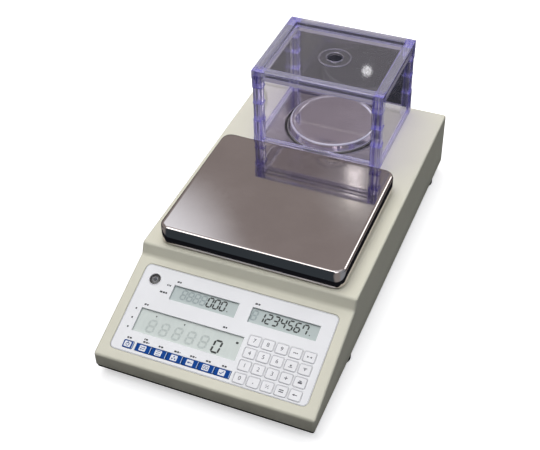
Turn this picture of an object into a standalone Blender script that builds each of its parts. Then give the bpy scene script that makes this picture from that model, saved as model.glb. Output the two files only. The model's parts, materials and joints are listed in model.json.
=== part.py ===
"""Counting balance with two weighing sections, built at real size.

A low wedge-fronted casing carries a sloping key and display panel, a large rectangular steel pan
and, behind it, a small round pan inside a clear draft shield with a lift-off lid.

Frame: +X to the right, +Y to the back, +Z up.  The origin is on the bench, under the middle of
the casing.  Lengths are in metres; MM turns a figure in millimetres into metres.
"""

import math

import bmesh
import bpy
from mathutils import Matrix

MM = 0.001
GAP = 0.3 * MM  # clearance kept between neighbouring pieces

# Casing
BODY_WIDTH = 210.0 * MM
BODY_DEPTH = 396.5 * MM
FOOT_HEIGHT = 10.0 * MM  # underside of the casing above the bench
FRONT_HEIGHT = 17.2 * MM  # height of the front face
SLOPE_DEPTH = 100.2 * MM  # front face to the top of the sloping panel
SLOPE_RISE = 34.1 * MM
STEP_DEPTH = 4.7 * MM  # the step from the panel up to the deck leans back
DECK_HEIGHT = 62.0 * MM  # deck above the underside
WALL = 3.2 * MM
EDGE_RADIUS = 2.2 * MM
PLATE_THICKNESS = 2.7 * MM  # outer plate of the base tray
PLATE_INSET = 0.8 * MM
RIM_HEIGHT = 9.0 * MM
RIM_THICKNESS = 2.0 * MM

# Levelling feet
FOOT_X = 94.3 * MM
FOOT_FROM_FRONT = (98.0 * MM, 366.5 * MM)
PAD_RADIUS = 9.0 * MM
PAD_HEIGHT = 4.2 * MM
WHEEL_RADIUS = 8.2 * MM
WHEEL_HEIGHT = 4.0 * MM
STUD_RADIUS = 3.0 * MM
STUD_TOP = 24.0 * MM
BOSS_RADIUS = 6.6 * MM
BOSS_HEIGHT = 9.0 * MM

# Sloping panel, in its own frame: X across, Y up the slope from the front edge, Z out of the face
OVERLAY_WIDTH = 188.6 * MM
OVERLAY_LENGTH = 88.2 * MM
OVERLAY_MIDDLE = 54.0 * MM
OVERLAY_CORNER = 5.0 * MM
OVERLAY_EDGE = 0.3 * MM
OVERLAY_THICKNESS = 1.6 * MM
RECESS_DEPTH = 1.9 * MM
# name: (centre across, centre up the slope, width, height) of each window
DISPLAYS = {
    "weight_display": (-30.5 * MM, 42.7 * MM, 101.0 * MM, 23.6 * MM),
    "unit_weight_display": (-28.4 * MM, 76.5 * MM, 64.4 * MM, 15.0 * MM),
    "count_display": (48.9 * MM, 76.7 * MM, 64.6 * MM, 15.0 * MM),
}
DISPLAY_BORDER = 2.0 * MM  # how far the glass runs on behind the overlay
DISPLAY_THICKNESS = 4.5 * MM
LEVEL_PLACE = (-81.0 * MM, 84.3 * MM)
LEVEL_RADIUS = 5.0 * MM
KEY_THICKNESS = 1.5 * MM
KEY_PROUD = 0.3 * MM  # key tops above the overlay
KEY_EDGE = 0.2 * MM  # radius round a key's face
PAD_KEY_CORNER = 1.3 * MM
FUNCTION_KEY_CORNER = 0.4 * MM
POWER_KEY_CORNER = 0.8 * MM
PAD_KEY_SIZE = (11.2 * MM, 9.9 * MM)
PAD_KEY_PITCH = (12.85 * MM, 12.12 * MM)
PAD_KEY_FIRST = (30.05 * MM, 17.2 * MM)  # lower left key of the number pad
PAD_KEY_ROWS = (
    ("key_0", "key_point", "key_clear", "key_memory", "key_enter"),
    ("key_1", "key_2", "key_3", "key_add", "key_print"),
    ("key_4", "key_5", "key_6", "key_unit_weight", "key_tare"),
    ("key_7", "key_8", "key_9", "key_sample", "key_zero"),
)
FUNCTION_KEY_SIZE = (14.8 * MM, 7.3 * MM)
FUNCTION_KEY_PITCH = 15.35 * MM
FUNCTION_KEY_FIRST = (-62.9 * MM, 17.3 * MM)
FUNCTION_KEYS = ("units_key", "limits_key", "sample_key", "recall_key", "section_key", "set_key")
POWER_KEY_SIZE = (9.8 * MM, 7.3 * MM)
POWER_KEY_PLACE = (-77.85 * MM, 17.3 * MM)
BOARD_SIZE = (178.0 * MM, 76.0 * MM, 1.6 * MM)
BOARD_MIDDLE = 47.0 * MM
BOARD_DEPTH = 7.0 * MM  # board face below the panel face
# (centre across, centre up the slope, width, height, depth below the board) of each chip
CHIPS = (
    (-50.0 * MM, 45.0 * MM, 22.0 * MM, 22.0 * MM, 2.4 * MM),
    (10.0 * MM, 50.0 * MM, 30.0 * MM, 14.0 * MM, 3.0 * MM),
    (55.0 * MM, 40.0 * MM, 16.0 * MM, 26.0 * MM, 5.0 * MM),
    (-10.0 * MM, 25.0 * MM, 40.0 * MM, 8.0 * MM, 4.0 * MM),
)
STANDOFF_RADIUS = 2.4 * MM
STANDOFF_X = 86.0 * MM
STANDOFF_ROWS = (22.0 * MM, 62.0 * MM)
TAIL_SLOT_SIZE = (26.0 * MM, 2.5 * MM)  # lets the key panel's ribbon through the cover
TAIL_SLOT_PLACE = (56.0 * MM, 62.5 * MM)

# Large pan
LARGE_PAN_FROM_FRONT = 185.6 * MM
LARGE_PAN_SIZE = (180.2 * MM, 153.4 * MM)
LARGE_PAN_TOP = 20.6 * MM  # above the deck
LARGE_PAN_SKIRT_FOOT = 2.0 * MM  # skirt's lower edge above the deck
LARGE_PAN_CORNER = 10.0 * MM
LARGE_PAN_SHEET = 1.2 * MM
LARGE_PAN_EDGE = 3.0 * MM
LARGE_STEM_RADIUS = 9.0 * MM
LARGE_STEM_HOLE = 14.0 * MM
ARM_WIDTH = 14.0 * MM
ARM_HEIGHT = 4.0 * MM
ARM_ABOVE_DECK = 7.0 * MM
BUFFER_RADIUS = 6.0 * MM
BUFFER_REACH = (62.0 * MM, 50.0 * MM)  # from the pan's centre, across and along

# Small pan and draft shield share one axis
SMALL_FROM_FRONT = 335.6 * MM
SMALL_PAN_HOLE = 48.0 * MM  # radius of the opening in the floor plate
SMALL_PAN_SHEET = 1.0 * MM
SMALL_PAN_FLOOR = 9.4 * MM  # flat floor above the deck
SMALL_PAN_FLAT = 39.6 * MM  # radius of the flat floor
SMALL_PAN_ROLL = 2.4 * MM  # radius of the rolled shoulder
SMALL_PAN_ROLL_CENTRE = (42.6 * MM, 7.8 * MM)  # radius, above the deck
SMALL_PAN_SKIRT = 47.3 * MM  # radius of the skirt's foot
SMALL_PAN_SKIRT_FOOT = 2.6 * MM  # above the deck
SMALL_PAN_RIM_STEP = (1.0 * MM, 0.4 * MM)  # outwards and up, from the floor to the shoulder
SMALL_PAN_FLARE = (0.9 * MM, 1.2 * MM)  # outwards and down, along the skirt's last stretch
SMALL_PAN_ROLL_SINK = 0.2 * MM  # the roll's inner side lies this much lower
SMALL_STEM_RADIUS = 6.0 * MM
SMALL_STEM_HOLE = 11.0 * MM
SMALL_SUPPORT_RADIUS = 22.0 * MM
SMALL_SUPPORT_THICKNESS = 2.5 * MM
SHIELD_SIZE = (135.0 * MM, 108.6 * MM, 87.4 * MM)
BASE_RAIL = (5.0 * MM, 6.0 * MM)  # width, height
TOP_RAIL = (8.6 * MM, 9.4 * MM)
POST_SIDE = 9.4 * MM
CAP_SIDE = 10.4 * MM
POST_CORNER = 1.2 * MM
TOP_CAP_HEIGHT = 18.8 * MM
BASE_CAP_HEIGHT = 27.0 * MM
PANEL_THICKNESS = 2.0 * MM
PANEL_INSET = 1.2 * MM
LID_DROP = 3.0 * MM  # lid face below the top of the frame
LID_THICKNESS = 2.0 * MM
LID_HOLE_RADIUS = 8.0 * MM
LEDGE_WIDTH = 2.5 * MM
FLOOR_PLATE_THICKNESS = 1.5 * MM

# Force cells
CELL_FLOOR = 3.5 * MM  # cell above the base tray
LARGE_CELL_SIZE = (100.0 * MM, 30.0 * MM, 28.0 * MM)
SMALL_CELL_SIZE = (88.0 * MM, 24.0 * MM, 26.0 * MM)
CELL_TRAVEL_GAP = 0.8 * MM
CELL_FREE_END = 12.0 * MM  # how far a cell runs on past the stem it carries
CELL_PAD_SIZE = (26.0 * MM, 24.0 * MM)
CELL_PAD_FROM_END = 14.0 * MM  # middle of the pad from the cell's fixed end
CELL_WINDOW_RADIUS = 8.0 * MM
CELL_WINDOW_SPACING = 0.36  # of the cell's length
CELL_SLOT_HEIGHT = 5.0 * MM

# Rear connectors
REAR_OPENING = (84.0 * MM, 24.0 * MM)
REAR_CENTRE = (-30.0 * MM, 42.0 * MM)  # across, above the bench
REAR_SET_BACK = 1.0 * MM
REAR_PLATE_THICKNESS = 2.0 * MM
INLET_X = -52.0 * MM
INLET_RADIUS = 6.0 * MM
INLET_LENGTH = 12.0 * MM
INLET_BORE_RADIUS = 3.3 * MM
INLET_BORE_DEPTH = 9.0 * MM
PORT_X = -18.0 * MM
PORT_SIZE = (20.0 * MM, 14.0 * MM, 11.0 * MM)
PORT_POCKET = (16.0 * MM, 10.0 * MM, 7.4 * MM)

FRONT_Y = -BODY_DEPTH / 2
UNDERSIDE = FOOT_HEIGHT
DECK = FOOT_HEIGHT + DECK_HEIGHT
TRAY_TOP = FOOT_HEIGHT + PLATE_THICKNESS
SLOPE_ANGLE = math.atan2(SLOPE_RISE, SLOPE_DEPTH)
LARGE_PAN_Y = FRONT_Y + LARGE_PAN_FROM_FRONT
SMALL_Y = FRONT_Y + SMALL_FROM_FRONT
SHIELD_FOOT = DECK + GAP
SHIELD_TOP = DECK + SHIELD_SIZE[2]
CELL_FOOT = TRAY_TOP + CELL_FLOOR
OVERLAP = 1.0 * MM  # how far joined shapes run into each other
SINK = 0.2 * MM  # sockets and posts start inside their rails, so their faces never coincide

COLOURS = {
    # name: (red, green, blue), roughness, metallic, opacity
    "ivory_shell": ((0.72, 0.70, 0.60), 0.45, 0.0, 1.0),
    "dark_tray": ((0.10, 0.10, 0.10), 0.55, 0.0, 1.0),
    "overlay_film": ((0.80, 0.82, 0.86), 0.35, 0.0, 1.0),
    "display_glass": ((0.50, 0.56, 0.53), 0.15, 0.0, 1.0),
    "blue_key": ((0.02, 0.10, 0.35), 0.35, 0.0, 1.0),
    "white_key": ((0.82, 0.83, 0.87), 0.35, 0.0, 1.0),
    "level_glass": ((0.05, 0.06, 0.05), 0.10, 0.0, 1.0),
    "polished_steel": ((0.62, 0.60, 0.58), 0.12, 1.0, 1.0),
    "violet_acrylic": ((0.45, 0.42, 0.75), 0.08, 0.0, 0.35),
    "clear_acrylic": ((0.80, 0.80, 0.92), 0.05, 0.0, 0.20),
    "cast_alloy": ((0.55, 0.56, 0.58), 0.40, 1.0, 1.0),
    "black_rubber": ((0.02, 0.02, 0.02), 0.80, 0.0, 1.0),
    "black_plastic": ((0.03, 0.03, 0.03), 0.45, 0.0, 1.0),
    "circuit_board": ((0.02, 0.18, 0.08), 0.50, 0.0, 1.0),
    "zinc_steel": ((0.50, 0.50, 0.50), 0.30, 1.0, 1.0),
}


def clear_scene():
    for thing in list(bpy.data.objects):
        bpy.data.objects.remove(thing, do_unlink=True)


def new_collection(name):
    collection = bpy.data.collections.new(name)
    bpy.context.scene.collection.children.link(collection)
    return collection


def make_materials():
    made = {}
    for name, (colour, roughness, metallic, opacity) in COLOURS.items():
        material = bpy.data.materials.new(name)
        material.use_nodes = True
        shader = material.node_tree.nodes["Principled BSDF"]
        shader.inputs["Base Color"].default_value = (*colour, 1.0)
        shader.inputs["Roughness"].default_value = roughness
        shader.inputs["Metallic"].default_value = metallic
        shader.inputs["Alpha"].default_value = opacity
        material.diffuse_color = (*colour, opacity)
        made[name] = material
    return made


clear_scene()
PARTS = new_collection("counting_balance")
CUTTERS = new_collection("cutters")
MATERIALS = make_materials()


# ---------------------------------------------------------------- helpers


def make_object(name, bm, material, place=(0, 0, 0), parent=None):
    """Turn a bmesh into a named part of the balance."""
    bmesh.ops.recalc_face_normals(bm, faces=bm.faces)
    mesh = bpy.data.meshes.new(name)
    bm.to_mesh(mesh)
    bm.free()
    mesh.materials.append(MATERIALS[material])
    mesh.shade_smooth()
    mesh.set_sharp_from_angle(angle=math.radians(35))
    thing = bpy.data.objects.new(name, mesh)
    thing.location = place
    thing.parent = parent
    PARTS.objects.link(thing)
    return thing


def make_helper(name, bm, place=(0, 0, 0), parent=None):
    """Turn a bmesh into a hidden operand for a Boolean modifier."""
    bmesh.ops.recalc_face_normals(bm, faces=bm.faces)
    mesh = bpy.data.meshes.new(name)
    bm.to_mesh(mesh)
    bm.free()
    helper = bpy.data.objects.new(name, mesh)
    helper.location = place
    helper.parent = parent
    helper.display_type = "WIRE"
    helper.hide_render = True
    CUTTERS.objects.link(helper)
    return helper


def combine(target, helper, operation):
    modifier = target.modifiers.new(helper.name, "BOOLEAN")
    modifier.operation = operation
    modifier.solver = "EXACT"
    modifier.object = helper


def cut(target, bm, place=(0, 0, 0), parent=None):
    helper = make_helper(f"{target.name}_cut", bm, place, parent)
    combine(target, helper, "DIFFERENCE")


def join(target, bm, place=(0, 0, 0), parent=None):
    helper = make_helper(f"{target.name}_add", bm, place, parent)
    combine(target, helper, "UNION")


def vertical_edges(bm):
    return [e for e in bm.edges if abs(e.verts[0].co.z - e.verts[1].co.z) > 1e-6]


def edges_at_height(bm, height):
    return [e for e in bm.edges if all(abs(v.co.z - height) < 1e-7 for v in e.verts)]


def round_edges(bm, edges, radius, steps):
    bmesh.ops.bevel(bm, geom=edges, offset=radius, segments=steps, profile=0.5, affect="EDGES")


def move(bm, matrix):
    """Move a whole bmesh by a 4 x 4 matrix."""
    bmesh.ops.transform(bm, matrix=matrix, verts=bm.verts)


def block(width, depth, height, corner=0.0, corner_steps=3, edge=0.0, edge_steps=2):
    """A box centred in X and Y that stands on Z = 0, with rounded corners and top edge."""
    bm = bmesh.new()
    bmesh.ops.create_cube(bm, size=1.0)
    bmesh.ops.scale(bm, vec=(width, depth, height), verts=bm.verts)
    bmesh.ops.translate(bm, vec=(0, 0, height / 2), verts=bm.verts)
    if corner:
        round_edges(bm, vertical_edges(bm), corner, corner_steps)
    if edge:
        round_edges(bm, edges_at_height(bm, height), edge, edge_steps)
    return bm


def cylinder(radius, height, steps=32):
    """A cylinder that stands on Z = 0."""
    bm = bmesh.new()
    bmesh.ops.create_cone(bm, cap_ends=True, segments=steps, radius1=radius, radius2=radius, depth=height)
    bmesh.ops.translate(bm, vec=(0, 0, height / 2), verts=bm.verts)
    return bm


def lying_cylinder(radius, length, steps=32):
    """A cylinder that runs along +Y from Y = 0."""
    bm = cylinder(radius, length, steps)
    move(bm, Matrix.Rotation(-math.pi / 2, 4, "X"))
    return bm


def turned(name, profile, material, place, steps=48):
    """A turned piece: its (radius, height) points run from the top of the axis to the bottom."""
    mesh = bpy.data.meshes.new(name)
    bm = bmesh.new()
    points = [bm.verts.new((radius, 0, height)) for radius, height in profile]
    for first, second in zip(points, points[1:]):
        bm.edges.new((first, second))
    bm.to_mesh(mesh)
    bm.free()
    mesh.materials.append(MATERIALS[material])
    thing = bpy.data.objects.new(name, mesh)
    thing.location = place
    PARTS.objects.link(thing)
    screw = thing.modifiers.new("turn", "SCREW")
    screw.steps = steps
    screw.render_steps = steps
    screw.use_merge_vertices = True
    screw.merge_threshold = 0.00001
    screw.use_smooth_shade = True
    return thing


def arc(centre, radius, start, end, steps):
    """Points on an arc in the (radius, height) plane, angles in degrees."""
    points = []
    for step in range(steps + 1):
        angle = math.radians(start + (end - start) * step / steps)
        points.append((centre[0] + radius * math.cos(angle), centre[1] + radius * math.sin(angle)))
    return points


def extruded_outline(outline, half_width):
    """A prism whose (y, z) outline is swept along X from -half_width to +half_width."""
    bm = bmesh.new()
    face = bm.faces.new([bm.verts.new((-half_width, y, z)) for y, z in outline])
    swept = bmesh.ops.extrude_face_region(bm, geom=[face])
    moved = [v for v in swept["geom"] if isinstance(v, bmesh.types.BMVert)]
    bmesh.ops.translate(bm, vec=(2 * half_width, 0, 0), verts=moved)
    return bm


def inset_outline(outline, distance):
    """The same outline with every side moved inwards by the distance (outline runs clockwise)."""
    lines = []
    for (y0, z0), (y1, z1) in zip(outline, outline[1:] + outline[:1]):
        length = math.hypot(y1 - y0, z1 - z0)
        along = ((y1 - y0) / length, (z1 - z0) / length)
        inward = (along[1], -along[0])
        lines.append(((y0 + inward[0] * distance, z0 + inward[1] * distance), along))
    corners = []
    for (start, along), (other, turn) in zip(lines[-1:] + lines[:-1], lines):
        cross = along[0] * turn[1] - along[1] * turn[0]
        reach = ((other[0] - start[0]) * turn[1] - (other[1] - start[1]) * turn[0]) / cross
        corners.append((start[0] + along[0] * reach, start[1] + along[1] * reach))
    return corners


# ---------------------------------------------------------------- casing


def casing_outline():
    """Side view of the cover as (y, z), clockwise from the front foot."""
    return [
        (FRONT_Y, TRAY_TOP + GAP),
        (FRONT_Y, UNDERSIDE + FRONT_HEIGHT),
        (FRONT_Y + SLOPE_DEPTH, UNDERSIDE + FRONT_HEIGHT + SLOPE_RISE),
        (FRONT_Y + SLOPE_DEPTH + STEP_DEPTH, DECK),
        (-FRONT_Y, DECK),
        (-FRONT_Y, TRAY_TOP + GAP),
    ]


def make_panel_frame():
    frame = bpy.data.objects.new("panel_frame", None)
    frame.location = (0, FRONT_Y, UNDERSIDE + FRONT_HEIGHT)
    frame.rotation_euler = (SLOPE_ANGLE, 0, 0)
    PARTS.objects.link(frame)
    return frame


def round_casing_edges(bm):
    """Round every edge of the cover except the open rim at its foot."""
    foot = TRAY_TOP + GAP
    edges = [e for e in bm.edges if not all(abs(v.co.z - foot) < 1e-7 for v in e.verts)]
    sharp = [e for e in edges if e.calc_face_angle() > math.radians(20)]
    round_edges(bm, sharp, EDGE_RADIUS, 3)


def make_top_cover(panel):
    outline = casing_outline()
    shell = extruded_outline(outline, BODY_WIDTH / 2)
    bmesh.ops.recalc_face_normals(shell, faces=shell.faces)
    round_casing_edges(shell)
    cover = make_object("top_cover", shell, "ivory_shell")
    hollow_out_cover(cover, outline)
    cut_panel_openings(cover, panel)
    for y, radius in ((LARGE_PAN_Y, LARGE_STEM_HOLE), (SMALL_Y, SMALL_STEM_HOLE)):
        cut(cover, cylinder(radius, 4 * WALL), (0, y, DECK - 2 * WALL))
    opening = block(REAR_OPENING[0], 4 * WALL, REAR_OPENING[1])
    cut(cover, opening, (REAR_CENTRE[0], -FRONT_Y, REAR_CENTRE[1] - REAR_OPENING[1] / 2))
    add_board_standoffs(cover, panel)


def hollow_out_cover(cover, outline):
    inner = inset_outline(outline, WALL)
    inner[0] = (inner[0][0], UNDERSIDE)
    inner[-1] = (inner[-1][0], UNDERSIDE)
    cut(cover, extruded_outline(inner, BODY_WIDTH / 2 - WALL))


def cut_panel_openings(cover, panel):
    """The overlay's recess and, through it, the windows, the level's hole and the ribbon slot."""
    width = OVERLAY_WIDTH + 2 * GAP
    length = OVERLAY_LENGTH + 2 * GAP
    recess = block(width, length, 2 * RECESS_DEPTH, OVERLAY_CORNER + GAP)
    cut(cover, recess, (0, OVERLAY_MIDDLE, -RECESS_DEPTH), panel)
    for x, s, width, height in DISPLAYS.values():
        grow = 2 * (DISPLAY_BORDER + GAP)
        window = block(width + grow, height + grow, 4 * WALL)
        cut(cover, window, (x, s, -2 * WALL), panel)
    cut(cover, cylinder(LEVEL_RADIUS + GAP, 4 * WALL), (*LEVEL_PLACE, -2 * WALL), panel)
    cut(cover, block(*TAIL_SLOT_SIZE, 4 * WALL), (*TAIL_SLOT_PLACE, -2 * WALL), panel)


def add_board_standoffs(cover, panel):
    length = BOARD_DEPTH - WALL - GAP + OVERLAP
    for x in (-STANDOFF_X, STANDOFF_X):
        for s in STANDOFF_ROWS:
            standoff = cylinder(STANDOFF_RADIUS, length, 16)
            join(cover, standoff, (x, s, GAP - BOARD_DEPTH), panel)


def foot_places():
    for end, from_front in zip(("front", "rear"), FOOT_FROM_FRONT):
        for side, x in (("left", -FOOT_X), ("right", FOOT_X)):
            yield f"{end}_{side}", x, FRONT_Y + from_front


def make_base_tray():
    width = BODY_WIDTH - 2 * PLATE_INSET
    depth = BODY_DEPTH - 2 * PLATE_INSET
    plate = block(width, depth, PLATE_THICKNESS, 2 * MM)
    tray = make_object("base_tray", plate, "dark_tray", (0, 0, UNDERSIDE))
    add_tray_rim(tray)
    for _, x, y in foot_places():
        boss = cylinder(BOSS_RADIUS, BOSS_HEIGHT + OVERLAP, 24)
        join(tray, boss, (x, y, TRAY_TOP - OVERLAP))
    for x, y in cell_pad_places():
        pad = block(*CELL_PAD_SIZE, CELL_FLOOR - GAP + OVERLAP)
        join(tray, pad, (x, y, TRAY_TOP - OVERLAP))
    for _, x, y in foot_places():
        cut(tray, cylinder(STUD_RADIUS + GAP, 2 * STUD_TOP, 24), (x, y, 0))


def add_tray_rim(tray):
    """A low wall on the tray that stands just inside the cover."""
    reach = WALL + 2 * GAP
    width = BODY_WIDTH - 2 * reach
    depth = BODY_DEPTH - 2 * reach
    wall = block(width, depth, RIM_HEIGHT + OVERLAP)
    rim = make_helper("base_tray_rim", wall, (0, 0, TRAY_TOP - OVERLAP))
    inside = block(width - 2 * RIM_THICKNESS, depth - 2 * RIM_THICKNESS, RIM_HEIGHT + 4 * OVERLAP)
    hollow = make_helper("base_tray_hollow", inside, (0, 0, TRAY_TOP - 2 * OVERLAP))
    combine(rim, hollow, "DIFFERENCE")
    combine(tray, rim, "UNION")


def make_feet():
    wheel_foot = PAD_HEIGHT + GAP
    stud_foot = wheel_foot + OVERLAP
    for name, x, y in foot_places():
        make_object(f"foot_pad_{name}", foot_pad(), "black_rubber", (x, y, 0))
        screw = make_object(f"foot_screw_{name}", knurled_wheel(), "black_plastic", (x, y, wheel_foot))
        join(screw, cylinder(STUD_RADIUS, STUD_TOP - stud_foot, 20), (x, y, stud_foot))


def foot_pad():
    """A round rubber sole with a rounded lower edge."""
    bm = cylinder(PAD_RADIUS, PAD_HEIGHT, 32)
    round_edges(bm, edges_at_height(bm, 0), 0.8 * MM, 2)
    return bm


def knurled_wheel():
    """A hand wheel with a fluted rim."""
    flutes = 20
    flute_depth = 0.07  # of the wheel's radius
    bm = cylinder(WHEEL_RADIUS, WHEEL_HEIGHT, 2 * flutes)
    for vert in bm.verts:
        step = round(math.atan2(vert.co.y, vert.co.x) * flutes / math.pi)
        if step % 2:
            vert.co.xy *= 1 - flute_depth
    return bm


# ---------------------------------------------------------------- sloping panel


def pad_key_places():
    for row, names in enumerate(PAD_KEY_ROWS):
        for column, name in enumerate(names):
            x = PAD_KEY_FIRST[0] + column * PAD_KEY_PITCH[0]
            s = PAD_KEY_FIRST[1] + row * PAD_KEY_PITCH[1]
            yield name, x, s


def function_key_places():
    for column, name in enumerate(FUNCTION_KEYS):
        yield name, FUNCTION_KEY_FIRST[0] + column * FUNCTION_KEY_PITCH, FUNCTION_KEY_FIRST[1]


def make_overlay(panel):
    size = (OVERLAY_WIDTH, OVERLAY_LENGTH, OVERLAY_THICKNESS)
    sheet = block(*size, OVERLAY_CORNER, 5, OVERLAY_EDGE, 1)
    place = (0, OVERLAY_MIDDLE, -OVERLAY_THICKNESS)
    overlay = make_object("control_panel", sheet, "overlay_film", place, panel)
    deep = 4 * OVERLAY_THICKNESS
    base = -2 * OVERLAY_THICKNESS
    for x, s, width, height in DISPLAYS.values():
        cut(overlay, block(width, height, deep), (x, s, base), panel)
    cut(overlay, cylinder(LEVEL_RADIUS + GAP, deep), (*LEVEL_PLACE, base), panel)
    for _, x, s in pad_key_places():
        cut(overlay, key_opening(PAD_KEY_SIZE, deep, PAD_KEY_CORNER + GAP), (x, s, base), panel)
    cut(overlay, key_opening(POWER_KEY_SIZE, deep, POWER_KEY_CORNER + GAP), (*POWER_KEY_PLACE, base), panel)
    span = FUNCTION_KEY_PITCH * (len(FUNCTION_KEYS) - 1)
    strip = key_opening((FUNCTION_KEY_SIZE[0] + span, FUNCTION_KEY_SIZE[1]), deep, 0)
    cut(overlay, strip, (FUNCTION_KEY_FIRST[0] + span / 2, FUNCTION_KEY_FIRST[1], base), panel)


def key_opening(size, deep, corner):
    return block(size[0] + 2 * GAP, size[1] + 2 * GAP, deep, corner, 2)


def make_keys(panel):
    bottom = KEY_PROUD - KEY_THICKNESS
    for name, x, s in pad_key_places():
        cap = block(*PAD_KEY_SIZE, KEY_THICKNESS, PAD_KEY_CORNER, 2, KEY_EDGE, 1)
        make_object(name, cap, "white_key", (x, s, bottom), panel)
    for name, x, s in function_key_places():
        cap = block(*FUNCTION_KEY_SIZE, KEY_THICKNESS, FUNCTION_KEY_CORNER, 1, KEY_EDGE, 1)
        make_object(name, cap, "blue_key", (x, s, bottom), panel)
    cap = block(*POWER_KEY_SIZE, KEY_THICKNESS, POWER_KEY_CORNER, 2, KEY_EDGE, 1)
    make_object("power_key", cap, "blue_key", (*POWER_KEY_PLACE, bottom), panel)


def make_displays(panel):
    for name, (x, s, width, height) in DISPLAYS.items():
        glass = block(width + 2 * DISPLAY_BORDER, height + 2 * DISPLAY_BORDER, DISPLAY_THICKNESS)
        make_object(name, glass, "display_glass", (x, s, -RECESS_DEPTH - DISPLAY_THICKNESS), panel)


def make_spirit_level(panel):
    height = BOARD_DEPTH - 2 * GAP
    vial = cylinder(LEVEL_RADIUS, height, 32)
    round_edges(vial, edges_at_height(vial, height), 0.8 * MM, 2)
    make_object("spirit_level", vial, "level_glass", (*LEVEL_PLACE, GAP - BOARD_DEPTH), panel)


def make_main_board(panel):
    """The circuit board under the panel, with its chips on the lower side."""
    floor = -BOARD_DEPTH - BOARD_SIZE[2]
    board = make_object("main_board", block(*BOARD_SIZE), "circuit_board", (0, BOARD_MIDDLE, floor), panel)
    overlap = BOARD_SIZE[2] / 2
    for x, s, width, height, deep in CHIPS:
        join(board, block(width, height, deep + overlap), (x, s, floor - deep), panel)


# ---------------------------------------------------------------- weighing parts


def cell_pad_places():
    """Where the fixed end of each force cell stands on the tray."""
    large_reach = LARGE_CELL_SIZE[0] - CELL_FREE_END - CELL_PAD_FROM_END
    small_reach = SMALL_CELL_SIZE[0] - CELL_FREE_END - CELL_PAD_FROM_END
    return ((0, LARGE_PAN_Y + large_reach), (small_reach, SMALL_Y))


def make_force_cell(name, size, place, turn):
    """A bending beam: a block with two round windows joined by a slot."""
    length, width, height = size
    beam = block(*size, edge=0.8 * MM, edge_steps=1)
    cell = make_object(name, beam, "cast_alloy", place)
    cell.rotation_euler = (0, 0, turn)
    spread = CELL_WINDOW_SPACING * length
    for along in (-spread / 2, spread / 2):
        window = lying_cylinder(CELL_WINDOW_RADIUS, 2 * width, 24)
        cut(cell, window, (along, -width, height / 2), cell)
    slot = block(spread, 2 * width, CELL_SLOT_HEIGHT)
    cut(cell, slot, (0, 0, (height - CELL_SLOT_HEIGHT) / 2), cell)


def make_force_cells():
    large_centre = LARGE_PAN_Y - CELL_FREE_END + LARGE_CELL_SIZE[0] / 2
    make_force_cell("large_force_cell", LARGE_CELL_SIZE, (0, large_centre, CELL_FOOT), math.pi / 2)
    small_centre = SMALL_CELL_SIZE[0] / 2 - CELL_FREE_END
    make_force_cell("small_force_cell", SMALL_CELL_SIZE, (small_centre, SMALL_Y, CELL_FOOT), 0)


def make_large_pan():
    """A shallow steel tray turned upside down, open below."""
    foot = DECK + LARGE_PAN_SKIRT_FOOT
    width, depth = LARGE_PAN_SIZE
    height = LARGE_PAN_TOP - LARGE_PAN_SKIRT_FOOT
    shell = block(width, depth, height, LARGE_PAN_CORNER, 5, LARGE_PAN_EDGE, 3)
    pan = make_object("large_pan", shell, "polished_steel", (0, LARGE_PAN_Y, foot))
    sheet = LARGE_PAN_SHEET
    below = LARGE_PAN_SKIRT_FOOT  # the hollow starts this far under the skirt
    inside = (width - 2 * sheet, depth - 2 * sheet, height - sheet + below)
    hollow = block(*inside, LARGE_PAN_CORNER - sheet, 5, LARGE_PAN_EDGE - sheet, 2)
    cut(pan, hollow, (0, LARGE_PAN_Y, foot - below))


def make_large_pan_support():
    """A stem from the force cell that carries a cross with four buffers."""
    stem_foot = CELL_FOOT + LARGE_CELL_SIZE[2] + CELL_TRAVEL_GAP
    arm_foot = DECK + ARM_ABOVE_DECK
    stem = cylinder(LARGE_STEM_RADIUS, arm_foot - stem_foot + ARM_HEIGHT / 2, 24)
    support = make_object("large_pan_support", stem, "cast_alloy", (0, LARGE_PAN_Y, stem_foot))
    reach_x, reach_y = BUFFER_REACH
    slant = math.atan2(reach_y, reach_x)
    for turn in (-slant, slant):
        arm = block(2 * math.hypot(reach_x, reach_y), ARM_WIDTH, ARM_HEIGHT)
        move(arm, Matrix.Rotation(turn, 4, "Z"))
        join(support, arm, (0, LARGE_PAN_Y, arm_foot))
    buffer_foot = arm_foot + OVERLAP
    buffer_top = DECK + LARGE_PAN_TOP - LARGE_PAN_SHEET - GAP
    for x in (-reach_x, reach_x):
        for y in (-reach_y, reach_y):
            buffer = cylinder(BUFFER_RADIUS, buffer_top - buffer_foot, 20)
            join(support, buffer, (x, LARGE_PAN_Y + y, buffer_foot))


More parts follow.
